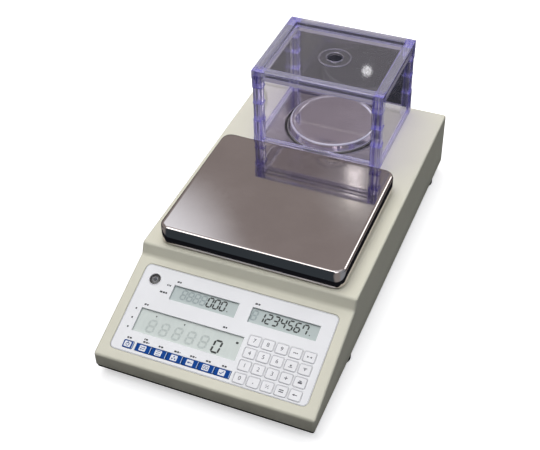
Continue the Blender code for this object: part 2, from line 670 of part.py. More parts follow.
def make_small_pan():
    """A round pressed pan: flat floor, rolled shoulder and a skirt that flares to its foot."""
    sheet = SMALL_PAN_SHEET
    step_out, step_up = SMALL_PAN_RIM_STEP
    flare_out, flare_down = SMALL_PAN_FLARE
    under = SMALL_PAN_FLOOR - sheet
    step = SMALL_PAN_FLAT + step_out
    centre = SMALL_PAN_ROLL_CENTRE
    inner_centre = (centre[0], centre[1] - SMALL_PAN_ROLL_SINK)
    skirt, foot = SMALL_PAN_SKIRT, SMALL_PAN_SKIRT_FOOT
    profile = [(0, SMALL_PAN_FLOOR), (SMALL_PAN_FLAT, SMALL_PAN_FLOOR), (step, SMALL_PAN_FLOOR + step_up)]
    profile += arc(centre, SMALL_PAN_ROLL, 110, 10, 4)
    profile += [(skirt - flare_out, foot + flare_down), (skirt, foot)]
    profile += [(skirt - sheet, foot), (skirt - sheet - flare_out, foot + flare_down)]
    profile += arc(inner_centre, SMALL_PAN_ROLL - sheet, 10, 110, 3)
    profile += [(step, under + step_up / 2), (SMALL_PAN_FLAT, under), (0, under)]
    turned("small_pan", profile, "polished_steel", (0, SMALL_Y, DECK), 60)


def make_small_pan_support():
    foot = CELL_FOOT + SMALL_CELL_SIZE[2] + CELL_TRAVEL_GAP
    top = DECK + SMALL_PAN_FLOOR - SMALL_PAN_SHEET - GAP
    flange = top - SMALL_SUPPORT_THICKNESS
    profile = [
        (0, top),
        (SMALL_SUPPORT_RADIUS, top),
        (SMALL_SUPPORT_RADIUS, flange),
        (SMALL_STEM_RADIUS, flange),
        (SMALL_STEM_RADIUS, foot),
        (0, foot),
    ]
    turned("small_pan_support", profile, "cast_alloy", (0, SMALL_Y, 0), 32)


# ---------------------------------------------------------------- draft shield


def shield_corners():
    for x in (-1, 1):
        for y in (-1, 1):
            yield x, y


def shield_post_places():
    """The axes of the corner posts, which stand out of the rails by half the sink."""
    for x, y in shield_corners():
        across = (SHIELD_SIZE[0] - CAP_SIDE + SINK) / 2
        along = (SHIELD_SIZE[1] - CAP_SIDE + SINK) / 2
        yield x * across, SMALL_Y + y * along


def make_floor_plate():
    """The polished plate inside the shield, with a round opening under the small pan."""
    width = SHIELD_SIZE[0] - 2 * BASE_RAIL[0] - 2 * GAP
    depth = SHIELD_SIZE[1] - 2 * BASE_RAIL[0] - 2 * GAP
    sheet = block(width, depth, FLOOR_PLATE_THICKNESS)
    plate = make_object("shield_floor_plate", sheet, "polished_steel", (0, SMALL_Y, DECK + GAP))
    deep = 4 * FLOOR_PLATE_THICKNESS
    base = DECK - FLOOR_PLATE_THICKNESS
    cut(plate, cylinder(SMALL_PAN_HOLE, deep, 72), (0, SMALL_Y, base))
    notch = CAP_SIDE + GAP - BASE_RAIL[0]
    for x, y in shield_corners():
        corner = block(4 * notch, 4 * notch, deep)
        reach_x = width / 2 + notch + GAP
        reach_y = depth / 2 + notch + GAP
        cut(plate, corner, (x * reach_x, SMALL_Y + y * reach_y, base))


def make_shield_base():
    """Base rails, four corner sockets and four posts, moulded as one piece."""
    width, depth, height = SHIELD_SIZE
    rails = block(width, depth, BASE_RAIL[1])
    base = make_object("shield_base_frame", rails, "violet_acrylic", (0, SMALL_Y, SHIELD_FOOT))
    inside = block(width - 2 * BASE_RAIL[0], depth - 2 * BASE_RAIL[0], 3 * BASE_RAIL[1])
    cut(base, inside, (0, SMALL_Y, SHIELD_FOOT - BASE_RAIL[1]))
    post_height = height - TOP_CAP_HEIGHT - 2 * GAP
    for x, y in shield_post_places():
        socket = block(CAP_SIDE, CAP_SIDE, BASE_CAP_HEIGHT - SINK, POST_CORNER, 2)
        join(base, socket, (x, y, SHIELD_FOOT + SINK))
        post = block(POST_SIDE, POST_SIDE, post_height - 2 * SINK, POST_CORNER, 2)
        join(base, post, (x, y, SHIELD_FOOT + 2 * SINK))


def make_shield_top():
    """Top rails with a ledge for the lid and a cap over each post."""
    width, depth, _ = SHIELD_SIZE
    low = SHIELD_TOP - TOP_RAIL[1]
    rails = block(width, depth, TOP_RAIL[1])
    top = make_object("shield_top_frame", rails, "violet_acrylic", (0, SMALL_Y, low))
    rail = TOP_RAIL[0] + LEDGE_WIDTH
    inside = block(width - 2 * rail, depth - 2 * rail, 3 * TOP_RAIL[1])
    cut(top, inside, (0, SMALL_Y, low - TOP_RAIL[1]))
    rebate = block(width - 2 * TOP_RAIL[0], depth - 2 * TOP_RAIL[0], TOP_RAIL[1])
    cut(top, rebate, (0, SMALL_Y, SHIELD_TOP - LID_DROP - LID_THICKNESS - GAP))
    cap_height = TOP_CAP_HEIGHT - LID_DROP - LID_THICKNESS - GAP - SINK  # ends below the rebate
    for x, y in shield_post_places():
        cap = block(CAP_SIDE, CAP_SIDE, cap_height, POST_CORNER, 2)
        join(top, cap, (x, y, SHIELD_TOP - TOP_CAP_HEIGHT))


def make_shield_panels():
    width, depth, height = SHIELD_SIZE
    low = SHIELD_FOOT + BASE_RAIL[1] + GAP
    tall = SHIELD_TOP - TOP_RAIL[1] - GAP - low
    inset = PANEL_INSET + PANEL_THICKNESS / 2
    side = CAP_SIDE + GAP
    for name, y in (("shield_front_panel", -1), ("shield_rear_panel", 1)):
        sheet = block(width - 2 * side, PANEL_THICKNESS, tall)
        make_object(name, sheet, "clear_acrylic", (0, SMALL_Y + y * (depth / 2 - inset), low))
    for name, x in (("shield_left_panel", -1), ("shield_right_panel", 1)):
        sheet = block(PANEL_THICKNESS, depth - 2 * side, tall)
        make_object(name, sheet, "clear_acrylic", (x * (width / 2 - inset), SMALL_Y, low))


def make_shield_lid():
    width, depth, _ = SHIELD_SIZE
    rail = TOP_RAIL[0] + GAP
    sheet = block(width - 2 * rail, depth - 2 * rail, LID_THICKNESS, 1 * MM, 2)
    low = SHIELD_TOP - LID_DROP - LID_THICKNESS
    lid = make_object("shield_lid", sheet, "clear_acrylic", (0, SMALL_Y, low))
    hole = cylinder(LID_HOLE_RADIUS, 4 * LID_THICKNESS, 40)
    cut(lid, hole, (0, SMALL_Y, low - LID_THICKNESS))


# ---------------------------------------------------------------- rear connectors


def make_rear_plate():
    """The plate set into the back wall that carries the two sockets."""
    face = -FRONT_Y - REAR_SET_BACK
    x, middle = REAR_CENTRE
    thickness = REAR_PLATE_THICKNESS
    height = REAR_OPENING[1] - 2 * GAP
    sheet = block(REAR_OPENING[0] - 2 * GAP, thickness, height)
    place = (x, face - thickness / 2, middle - height / 2)
    plate = make_object("rear_plate", sheet, "black_plastic", place)
    hole = lying_cylinder(INLET_RADIUS + GAP, 4 * thickness, 32)
    cut(plate, hole, (INLET_X, face - 2 * thickness, middle))
    window_height = PORT_SIZE[2] + 2 * GAP
    window = block(PORT_SIZE[0] + 2 * GAP, 4 * thickness, window_height)
    cut(plate, window, (PORT_X, face, middle - window_height / 2))


def make_power_inlet():
    """A round low-voltage inlet, open to the back."""
    face = -FRONT_Y - REAR_SET_BACK
    height = REAR_CENTRE[1]
    barrel = lying_cylinder(INLET_RADIUS, INLET_LENGTH, 32)
    inlet = make_object("power_inlet", barrel, "black_plastic", (INLET_X, face - INLET_LENGTH, height))
    bore = lying_cylinder(INLET_BORE_RADIUS, 2 * INLET_BORE_DEPTH, 24)
    cut(inlet, bore, (INLET_X, face - INLET_BORE_DEPTH, height))


def make_data_port():
    """A rectangular data socket, open to the back."""
    width, length, height = PORT_SIZE
    face = -FRONT_Y - REAR_SET_BACK
    middle = REAR_CENTRE[1]
    shell = block(width, length, height)
    port = make_object("data_port", shell, "zinc_steel", (PORT_X, face - length / 2, middle - height / 2))
    pocket = block(PORT_POCKET[0], 2 * PORT_POCKET[1], PORT_POCKET[2])
    cut(port, pocket, (PORT_X, face, middle - PORT_POCKET[2] / 2))


def build():
    panel = make_panel_frame()
    make_base_tray()
    make_top_cover(panel)
    make_feet()
    make_overlay(panel)
    make_displays(panel)
    make_spirit_level(panel)
    make_keys(panel)
    make_main_board(panel)
    make_force_cells()
    make_large_pan_support()
    make_large_pan()
    make_small_pan_support()
    make_small_pan()
    make_floor_plate()
    make_shield_base()
    make_shield_top()
    make_shield_panels()
    make_shield_lid()
    make_rear_plate()
    make_power_inlet()
    make_data_port()


build()
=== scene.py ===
"""Looks for the counting balance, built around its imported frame.

Lengths are in metres; MM turns a figure in millimetres into metres.  Places on the sloping panel are
(across, uphill, outward): across from the middle, uphill from the panel's front edge, outward from
its face.
"""

import json
import math

import bmesh
import bpy
from mathutils import Matrix, Vector


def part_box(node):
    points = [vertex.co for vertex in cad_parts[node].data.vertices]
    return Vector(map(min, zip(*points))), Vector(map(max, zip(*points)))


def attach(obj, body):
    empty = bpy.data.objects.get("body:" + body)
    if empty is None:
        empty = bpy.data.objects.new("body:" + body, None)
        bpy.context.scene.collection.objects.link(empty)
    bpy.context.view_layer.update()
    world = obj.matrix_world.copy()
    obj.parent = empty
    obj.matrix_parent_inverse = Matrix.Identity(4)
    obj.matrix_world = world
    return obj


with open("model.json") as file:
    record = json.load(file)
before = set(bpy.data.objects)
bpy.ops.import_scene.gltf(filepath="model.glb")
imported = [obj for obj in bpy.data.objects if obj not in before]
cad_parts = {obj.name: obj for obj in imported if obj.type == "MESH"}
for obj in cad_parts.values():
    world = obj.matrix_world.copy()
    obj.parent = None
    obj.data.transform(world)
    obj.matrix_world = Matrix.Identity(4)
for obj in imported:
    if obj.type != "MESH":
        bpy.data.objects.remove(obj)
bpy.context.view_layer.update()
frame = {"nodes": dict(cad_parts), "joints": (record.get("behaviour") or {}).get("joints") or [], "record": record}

MM = 0.001
SHARP_ANGLE = math.radians(32)  # edges sharper than this stay sharp in the shading
WELD_DISTANCE = 0.001 * MM
NODES = frame["nodes"]
GROUPS = frame["record"]["behaviour"]["bodies"]
BODY_OF = {node: body for body, members in GROUPS.items() for node in members}
SLOT_OF = {part["node"]: part["material_slot"] for part in frame["record"]["subparts"]}

# Camera, at the photograph's viewing angle
CAMERA_TARGET = Vector((-29.7 * MM, 31.1 * MM, 12.1 * MM))
CAMERA_DISTANCE = 1.0831
CAMERA_AZIMUTH = math.radians(23.545)
CAMERA_ELEVATION = math.radians(41.814)
CAMERA_ROLL = math.radians(-1.763)
CAMERA_LENS = 70.35  # millimetres on a 36 mm sensor

# Sloping panel
EDGE_TO_OVERLAY = 9.9 * MM  # front edge of the slope to the overlay
GLASS_BORDER = 2.0 * MM  # part of each display glass that the overlay covers
PRINT_LIFT = 0.02 * MM  # air between a face and the print on it
PRINT_THICKNESS = 0.05 * MM
SLANT = 0.10  # how far a display figure leans to the right for its height
SMALL_FIGURE = (4.5 * MM, 9.0 * MM, 1.4 * MM)  # width, height and thickness of a segment
LARGE_FIGURE = (6.5 * MM, 11.4 * MM, 1.8 * MM)
SMALL_DOT = 0.55 * MM
BLUE_ICON_UNIT = 1.15 * MM
WHITE_ICON_UNIT = 0.95 * MM

# Draft shield
LID_HOLE_RADIUS = 8.0 * MM
POST_SIDE = 11.0 * MM
SOCKET_HEIGHT = 27.2 * MM
COLLAR_HEIGHT = 1.3 * MM

# Studio
LAMP_PLACE = Vector((-0.28, 0.44, 1.5))
LAMP_POWER = 8.4
FLOOR_REACH = 8

FUNCTION_KEYS = ("units_key", "limits_key", "sample_key", "recall_key", "section_key", "set_key")
BLUE_KEYS = ("power_key",) + FUNCTION_KEYS
DIGIT_KEYS = tuple(f"key_{digit}" for digit in range(10))
PLAIN_KEYS = ("key_point", "key_clear")
LABEL_KEYS = (
    "key_memory", "key_enter", "key_add", "key_print",
    "key_unit_weight", "key_tare", "key_sample", "key_zero",
)


# ---------------------------------------------------------------- panel coordinates

ACROSS = Vector((1, 0, 0))
PRESS = Vector(next(j["axis"] for j in frame["joints"] if j["name"] == "power_key_press"))
OUTWARD = -PRESS.normalized()
UPHILL = OUTWARD.cross(ACROSS)
PANEL_TURN = Matrix((ACROSS, UPHILL, OUTWARD)).transposed().to_4x4()


def corners_along(node, axes):
    """Lowest and highest reach of a node along each of three axes."""
    reach = [[v.co.dot(axis) for v in NODES[node].data.vertices] for axis in axes]
    return Vector(min(r) for r in reach), Vector(max(r) for r in reach)


OVERLAY_LOW, OVERLAY_HIGH = corners_along("control_panel", (ACROSS, UPHILL, OUTWARD))
PANEL_ORIGIN = Vector((0, OVERLAY_LOW.y - EDGE_TO_OVERLAY, OVERLAY_HIGH.z))
PANEL = PANEL_TURN @ Matrix.Translation(PANEL_ORIGIN)


def panel_box(node):
    """Lowest and highest (across, uphill, outward) of a node on the panel."""
    low, high = corners_along(node, (ACROSS, UPHILL, OUTWARD))
    return low - PANEL_ORIGIN, high - PANEL_ORIGIN


# ---------------------------------------------------------------- node materials


def linear(red, green, blue):
    """A colour given as the 0-255 values seen on a screen, for a shader."""
    return tuple(
        value / 255 / 12.92 if value <= 10 else ((value / 255 + 0.055) / 1.055) ** 2.4
        for value in (red, green, blue)
    )


class Surface:
    """A node material under construction, with shading that rounds sharp edges."""

    def __init__(self, name):
        self.material = bpy.data.materials.new(name)
        self.material.use_nodes = True
        self.tree = self.material.node_tree
        self.shader = self.tree.nodes["Principled BSDF"]
        self.place = self.node("ShaderNodeTexCoord").outputs["Object"]

    def node(self, kind, **settings):
        made = self.tree.nodes.new(kind)
        for key, value in settings.items():
            setattr(made, key, value)
        return made

    def feed(self, socket, value):
        """Link another node's output to the socket, or set a plain value."""
        if isinstance(value, bpy.types.NodeSocket):
            self.tree.links.new(value, socket)
        else:
            socket.default_value = value

    def math(self, operation, first, second=0.0):
        made = self.node("ShaderNodeMath", operation=operation)
        self.feed(made.inputs[0], first)
        self.feed(made.inputs[1], second)
        return made.outputs[0]

    def vector(self, operation, first, second):
        made = self.node("ShaderNodeVectorMath", operation=operation)
        self.feed(made.inputs[0], first)
        self.feed(made.inputs[1], second)
        return made.outputs["Value" if operation == "DOT_PRODUCT" else "Vector"]

    def split(self, vector):
        made = self.node("ShaderNodeSeparateXYZ")
        self.feed(made.inputs[0], vector)
        return made.outputs

    def join(self, x, y, z):
        made = self.node("ShaderNodeCombineXYZ")
        for socket, value in zip(made.inputs, (x, y, z)):
            self.feed(socket, value)
        return made.outputs[0]

    def scaled(self, x, y, z):
        """The object coordinates, stretched along each axis."""
        return self.vector("MULTIPLY", self.place, (x, y, z))

    def noise(self, size, detail=3.0, place=None):
        """Noise whose blobs are about the given size across."""
        made = self.node("ShaderNodeTexNoise")
        self.feed(made.inputs["Vector"], place or self.place)
        made.inputs["Scale"].default_value = 1 / size
        made.inputs["Detail"].default_value = detail
        made.inputs["Roughness"].default_value = 0.55
        return made.outputs["Fac"]

    def spread(self, value, low, high, start=0.3, end=0.7, smooth=True):
        """Map the value's start-end range to low-high."""
        made = self.node("ShaderNodeMapRange")
        made.interpolation_type = "SMOOTHSTEP" if smooth else "LINEAR"
        self.feed(made.inputs["Value"], value)
        for key, number in (("From Min", start), ("From Max", end), ("To Min", low), ("To Max", high)):
            self.feed(made.inputs[key], number)
        return made.outputs["Result"]

    def mix(self, factor, first, second):
        made = self.node("ShaderNodeMix", data_type="RGBA")
        self.feed(made.inputs["Factor"], factor)
        self.feed(made.inputs["A"], (*first, 1) if isinstance(first, tuple) else first)
        self.feed(made.inputs["B"], (*second, 1) if isinstance(second, tuple) else second)
        return made.outputs["Result"]

    def rounded_normal(self, radius):
        made = self.node("ShaderNodeBevel")
        made.samples = 4
        made.inputs["Radius"].default_value = radius
        return made.outputs["Normal"]

    def edges(self, rounded):
        """1 on sharp edges, 0 on flat faces."""
        flat = self.node("ShaderNodeNewGeometry").outputs["Normal"]
        straight = self.vector("DOT_PRODUCT", rounded, flat)
        return self.spread(straight, 1.0, 0.0, 0.80, 0.995)

    def facing_up(self):
        """1 where the surface faces straight up, 0 where it is upright."""
        return self.split(self.node("ShaderNodeNewGeometry").outputs["Normal"])[2]

    def bump(self, height, depth, normal=None):
        made = self.node("ShaderNodeBump")
        made.inputs["Distance"].default_value = depth
        self.feed(made.inputs["Height"], height)
        if normal is not None:
            self.feed(made.inputs["Normal"], normal)
        return made.outputs["Normal"]

    def finish(self, colour, roughness, normal=None, metallic=0.0, **more):
        self.feed(self.shader.inputs["Base Color"], (*colour, 1) if isinstance(colour, tuple) else colour)
        self.feed(self.shader.inputs["Roughness"], roughness)
        self.feed(self.shader.inputs["Metallic"], metallic)
        if normal is not None:
            self.feed(self.shader.inputs["Normal"], normal)
        for key, value in more.items():
            self.feed(self.shader.inputs[key.replace("_", " ")], value)
        return self.material

    def blend_shader(self, factor, shader):
        """Mix another shader over the main one before the output."""
        mixed = self.node("ShaderNodeMixShader")
        self.feed(mixed.inputs["Fac"], factor)
        self.feed(mixed.inputs[1], self.shader.outputs[0])
        self.feed(mixed.inputs[2], shader)
        self.feed(self.tree.nodes["Material Output"].inputs["Surface"], mixed.outputs[0])


def shade(colour, factor):
    return tuple(value * factor for value in colour)


def moulded(name, colour, roughness, grain=0.5 * MM, depth=0.012 * MM, edge=0.5 * MM, wear_and_sheen=1.12, gloss=0.5):
    """Moulded or painted surface: fine grain, faint mottling, and lighter edges, partly worn and partly a painted
    sheen.
    """
    look = Surface(name)
    rounded = look.rounded_normal(edge)
    mottle = look.noise(28 * MM, 4)
    base = look.mix(look.spread(mottle, 0.0, 1.0), shade(colour, 0.965), shade(colour, 1.025))
    # Lighter edges: partly worn, partly a painted sheen along the edges.
    edge_sheen = look.math("MULTIPLY", look.edges(rounded), look.spread(look.noise(9 * MM, 5), 0.25, 0.9))
    base = look.mix(edge_sheen, base, shade(colour, wear_and_sheen))
    fine = look.noise(grain, 2)
    rough = look.math("ADD", roughness, look.spread(look.noise(6 * MM, 5), -0.05, 0.06))
    return look.finish(base, rough, look.bump(fine, depth, rounded), IOR=1.46, Specular_IOR_Level=gloss)


def ivory_casing():
    """Textured ivory paint, with painted shade that darkens the faces towards their foot."""
    look = Surface("ivory_casing")
    colour = linear(228, 226, 208)
    rounded = look.rounded_normal(1.2 * MM)
    mottle = look.noise(60 * MM, 4)
    base = look.mix(look.spread(mottle, 0.0, 1.0), shade(colour, 0.975), shade(colour, 1.015))
    speckle = look.spread(look.noise(0.9 * MM, 2), 0.0, 0.12, 0.55, 0.72)
    base = look.mix(speckle, base, shade(colour, 0.80))
    # Painted shade: the faces grow darker towards their foot, broken up by noise.
    foot = look.spread(look.split(look.place)[2], 0.34, 0.0, 12 * MM, 30 * MM)
    foot_shade = look.math("MULTIPLY", foot, look.spread(look.noise(14 * MM, 5), 0.4, 1.0))
    base = look.mix(foot_shade, base, linear(120, 116, 100))
    grain = look.noise(0.7 * MM, 3)
    rough = look.math("ADD", 0.44, look.spread(look.noise(11 * MM, 5), -0.05, 0.07))
    return look.finish(base, rough, look.bump(grain, 0.02 * MM, rounded), Specular_IOR_Level=0.42)


def overlay_print():
    """Polyester film: cool white with a satin grain."""
    look = Surface("overlay_film")
    colour = linear(246, 247, 249)
    mottle = look.noise(40 * MM, 3)
    base = look.mix(look.spread(mottle, 0.0, 1.0), shade(colour, 0.97), shade(colour, 1.01))
    rough = look.math("ADD", 0.36, look.spread(look.noise(4 * MM, 4), -0.05, 0.05))
    normal = look.bump(look.noise(0.35 * MM, 2), 0.006 * MM, look.rounded_normal(0.25 * MM))
    return look.finish(base, rough, normal)


def crystal_glass():
    """Grey-green liquid crystal behind glass, clouded, with painted shade that makes it a little darker further
    uphill.
    """
    look = Surface("display_glass")
    colour = linear(202, 211, 206)
    stripes = look.noise(3 * MM, 2, look.scaled(1, 0.15, 0.15))
    base = look.mix(look.spread(stripes, 0.0, 0.6), shade(colour, 0.95), shade(colour, 1.03))
    cloud = look.noise(22 * MM, 3)
    base = look.mix(look.spread(cloud, 0.0, 0.35), base, linear(188, 199, 195))
    # Painted shade: the glass grows a little darker further uphill.
    uphill = look.vector("DOT_PRODUCT", look.place, tuple(UPHILL))
    start = PANEL_ORIGIN.y + 58 * MM
    base = look.mix(look.spread(uphill, 0.0, 0.8, start, start + 14 * MM), base, linear(174, 187, 186))
    rough = look.spread(look.noise(7 * MM, 4), 0.10, 0.20)
    normal = look.bump(look.noise(0.5 * MM, 2), 0.003 * MM)
    return look.finish(base, rough, normal, Coat_Weight=0.4, Coat_Roughness=0.06)


def dark_glass():
    look = Surface("level_glass")
    base = look.mix(look.spread(look.noise(2.5 * MM, 4), 0.0, 1.0), linear(16, 14, 15), linear(40, 36, 36))
    rough = look.spread(look.noise(1.5 * MM, 3), 0.05, 0.16)
    return look.finish(base, rough, Coat_Weight=0.4, Coat_Roughness=0.03)


def polished_steel(name, tone, scratch_along, roughness):
    """Mirror-polished sheet with hairline scratches and faint smudges."""
    look = Surface(name)
    rounded = look.rounded_normal(0.8 * MM)
    hair = look.noise(0.5 * MM, 4, look.scaled(*scratch_along))
    smudge = look.noise(34 * MM, 5)
    base = look.mix(look.spread(smudge, 0.0, 1.0), shade(tone, 0.97), shade(tone, 1.02))
    base = look.mix(look.spread(hair, 0.0, 0.10, 0.45, 0.75), base, shade(tone, 0.82))
    smeared = look.spread(smudge, roughness, roughness + 0.03)
    rough = look.math("ADD", smeared, look.spread(hair, -0.01, 0.02))
    return look, base, rough, look.bump(hair, 0.0001 * MM, rounded)


def round_pan_steel():
    """The rolled shoulder is made white and mostly non-metal, a painted highlight that the lamp lights from every
    side.
    """
    tone = linear(236, 229, 238)
    look, base, rough, normal = polished_steel("round_pan_steel", tone, (1, 0.2, 1), 0.05)
    above_skirt = look.spread(look.facing_up(), 0.0, 1.0, 0.35, 0.6)
    off_floor = look.spread(look.facing_up(), 1.0, 0.0, 0.93, 0.985)
    edge_sheen = look.math("MULTIPLY", above_skirt, off_floor)
    # Painted highlight: the shoulder turns white and loses most of its metal, so it shows as a bright line.
    base = look.mix(edge_sheen, base, linear(246, 245, 250))
    metallic = look.math("SUBTRACT", 1.0, look.math("MULTIPLY", edge_sheen, 0.8))
    return look.finish(base, rough, normal, metallic)


def floor_plate_steel():
    tone = linear(196, 190, 200)
    look, base, rough, normal = polished_steel("floor_plate_steel", tone, (1, 0.06, 1), 0.10)
    return look.finish(base, rough, normal, 1.0)


def large_pan_steel():
    """The pan's skirt is pressed with a rolled shoulder, so its shading leans up towards the top."""
    tone = linear(206, 198, 195)
    look, base, rough, normal = polished_steel("large_pan_steel", tone, (1, 0.05, 1), 0.045)
    low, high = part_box("large_pan")
    height = look.split(look.place)[2]
    lean = look.spread(height, 0.12, 0.75, low.z, high.z - 2 * MM, smooth=False)
    upright = look.spread(look.facing_up(), 1.0, 0.0, 0.05, 0.5)
    tilt = look.join(0.0, 0.0, look.math("MULTIPLY", lean, upright))
    leaning = look.vector("NORMALIZE", look.vector("ADD", normal, tilt), (0, 0, 0))
    return look.finish(base, rough, leaning, 1.0)


def acrylic_corners(look):
    """1 in the shield's four corner posts, 0 between them."""
    low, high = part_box("shield_base_frame")
    middle = (low + high) / 2
    post = 10.6 * MM
    place = look.split(look.vector("SUBTRACT", look.place, tuple(middle)))
    across = look.math("GREATER_THAN", look.math("ABSOLUTE", place[0]), (high.x - low.x) / 2 - post)
    deep = look.math("GREATER_THAN", look.math("ABSOLUTE", place[1]), (high.y - low.y) / 2 - post)
    return look.math("MULTIPLY", across, deep)


def acrylic(name, tint, edge_shade, passing, milky, post_tint=None, edge=0.35 * MM, rim_shade_cover=0.25):
    """Cast acrylic that lets lamps through, with painted shade on its edges; posts may have a tint with streaks of
    painted shade.
    """
    look = Surface(name)
    rounded = look.rounded_normal(edge)
    wave = look.noise(30 * MM, 2)
    scuff = look.noise(3 * MM, 6, look.scaled(1, 1, 0.3))
    base = look.mix(look.spread(wave, 0.0, 1.0), shade(tint, 0.97), tint)
    clearness = 1.0 - milky
    if post_tint:
        corner = acrylic_corners(look)
        # Painted shade: the corner posts get upright streaks of the deep edge colour.
        post_shade_streaks = look.spread(look.noise(1.7 * MM, 2, look.scaled(1, 1, 0.01)), 0.0, 1.0, 0.42, 0.58)
        base = look.mix(corner, base, look.mix(post_shade_streaks, edge_shade, post_tint))
        clearness = look.math("SUBTRACT", clearness, look.math("MULTIPLY", corner, 0.12))
    # Painted shade: sharp edges turn deep violet and lose some clearness.
    rim = look.edges(rounded)
    base = look.mix(rim, base, edge_shade)
    rough = look.math("ADD", 0.015, look.spread(scuff, 0.0, 0.05, 0.5, 0.75))
    normal = look.bump(wave, 0.004 * MM, rounded)
    clearness = look.math("SUBTRACT", clearness, look.math("MULTIPLY", rim, rim_shade_cover))
    look.finish(base, rough, normal, Transmission_Weight=clearness, IOR=1.49)
    rays = look.node("ShaderNodeLightPath").outputs
    through = look.math("MAXIMUM", rays["Is Shadow Ray"], rays["Is Diffuse Ray"])
    clear = look.node("ShaderNodeBsdfTransparent")
    clear.inputs["Color"].default_value = (*passing, 1)
    look.blend_shader(through, clear.outputs[0])
    return look.material


def machined_alloy():
    look = Surface("machined_alloy")
    hair = look.noise(0.8 * MM, 4, look.scaled(1, 0.08, 1))
    base = look.mix(look.spread(hair, 0.0, 1.0), linear(176, 178, 182), linear(206, 208, 210))
    rough = look.spread(hair, 0.28, 0.42)
    normal = look.bump(hair, 0.004 * MM, look.rounded_normal(0.5 * MM))
    return look.finish(base, rough, normal, 1.0)


def zinc_plate():
    look = Surface("zinc_plate")
    spangle = look.node("ShaderNodeTexVoronoi")
    spangle.inputs["Scale"].default_value = 1 / (2.4 * MM)
    look.feed(spangle.inputs["Vector"], look.place)
    tone = look.split(spangle.outputs["Color"])[0]
    base = look.mix(tone, linear(168, 170, 172), linear(204, 206, 206))
    rough = look.spread(tone, 0.24, 0.40, 0.0, 1.0)
    normal = look.bump(look.noise(0.6 * MM, 3), 0.004 * MM, look.rounded_normal(0.3 * MM))
    return look.finish(base, rough, normal, 1.0)


def solder_mask():
    """Green board with copper tracks showing through."""
    look = Surface("solder_mask")
    tracks = look.node("ShaderNodeTexBrick")
    look.feed(tracks.inputs["Vector"], look.place)
    tracks.inputs["Scale"].default_value = 1 / (9 * MM)
    tracks.inputs["Mortar Size"].default_value = 0.03
    base = look.mix(tracks.outputs["Fac"], linear(18, 92, 48), linear(52, 132, 74))
    return look.finish(base, 0.38, look.bump(tracks.outputs["Fac"], 0.03 * MM))


def printed(name, colour, roughness=0.4):
    """Screen-printed ink with slightly uneven cover."""
    look = Surface(name)
    base = look.mix(look.spread(look.noise(1.2 * MM, 4), 0.0, 1.0), shade(colour, 0.93), shade(colour, 1.05))
    rough = look.spread(look.noise(0.8 * MM, 3), roughness - 0.05, roughness + 0.07)
    return look.finish(base, rough, look.bump(look.noise(0.3 * MM, 2), 0.003 * MM))


FILM = {"grain": 0.35 * MM, "depth": 0.006 * MM, "edge": 0.2 * MM}
RUBBER = {"grain": 0.6 * MM, "depth": 0.03 * MM, "edge": 0.5 * MM}
PLASTIC = {"grain": 0.5 * MM, "depth": 0.02 * MM, "edge": 0.4 * MM}
MATERIALS = {
    "ivory_shell": ivory_casing(),
    "dark_tray": moulded("dark_tray_paint", linear(44, 44, 44), 0.5),
    "overlay_film": overlay_print(),
    "display_glass": crystal_glass(),
    "blue_key": moulded("blue_key_film", linear(2, 70, 152), 0.5, wear_and_sheen=1.2, gloss=0.15, **FILM),
    "white_key": moulded("white_key_film", linear(247, 247, 249), 0.34, wear_and_sheen=1.0, **FILM),
    "level_glass": dark_glass(),
    "violet_acrylic": acrylic(
        "violet_acrylic",
        tint=(0.90, 0.89, 1.0),
        # The deep edge colour is painted shade, on the edges and in the posts' streaks.
        edge_shade=(0.34, 0.30, 0.86),
        passing=(0.80, 0.78, 0.95),
        milky=0.16,
        post_tint=(0.86, 0.84, 1.0),
        edge=0.7 * MM,
        rim_shade_cover=0.45,
    ),
    "clear_acrylic": acrylic(
        "clear_acrylic",
        tint=(0.96, 0.95, 0.99),
        # The deep edge colour is painted shade on the edges.
        edge_shade=(0.55, 0.52, 0.95),
        passing=(0.92, 0.91, 0.96),
        milky=0.03,
    ),
    "cast_alloy": machined_alloy(),
    "black_rubber": moulded("black_rubber", linear(30, 30, 31), 0.78, wear_and_sheen=1.4, gloss=0.3, **RUBBER),
    "black_plastic": moulded("black_plastic", linear(38, 38, 40), 0.46, wear_and_sheen=1.6, **PLASTIC),
    "circuit_board": solder_mask(),
    "zinc_steel": zinc_plate(),
}
STEEL = {
    "large_pan": large_pan_steel(),
    "small_pan": round_pan_steel(),
    "shield_floor_plate": floor_plate_steel(),
}
INK = {
    "segment": printed("segment_ink", linear(26, 30, 28), 0.35),
    "ghost": printed("ghost_ink", linear(182, 192, 188), 0.25),
    "deep_ghost": printed("deep_ghost_ink", linear(152, 165, 166), 0.25),
    "grey": printed("grey_ink", linear(84, 86, 94)),
    "dark": printed("dark_ink", linear(30, 32, 40)),
    "outline": printed("outline_ink", linear(186, 188, 194)),
    "pale_blue": printed("pale_blue_ink", linear(190, 208, 235)),
    "white": printed("white_ink", linear(238, 241, 246)),
    "blue": printed("blue_ink", linear(6, 70, 150)),
}


def dress_frame():
    """Give each CAD node its material and smooth its curved faces."""
    for name, node in NODES.items():
        node.data.materials.clear()
        node.data.materials.append(STEEL.get(name) or MATERIALS[SLOT_OF[name]])
        weld = node.modifiers.new("weld", "WELD")
        weld.merge_threshold = WELD_DISTANCE
        node.data.shade_smooth()
        sharp = node.modifiers.new("sharp_edges", "EDGE_SPLIT")
        sharp.split_angle = SHARP_ANGLE
        flat = node.modifiers.new("flat_faces_stay_flat", "WEIGHTED_NORMAL")
        flat.mode = "FACE_AREA"
        flat.weight = 100


# ---------------------------------------------------------------- shapes


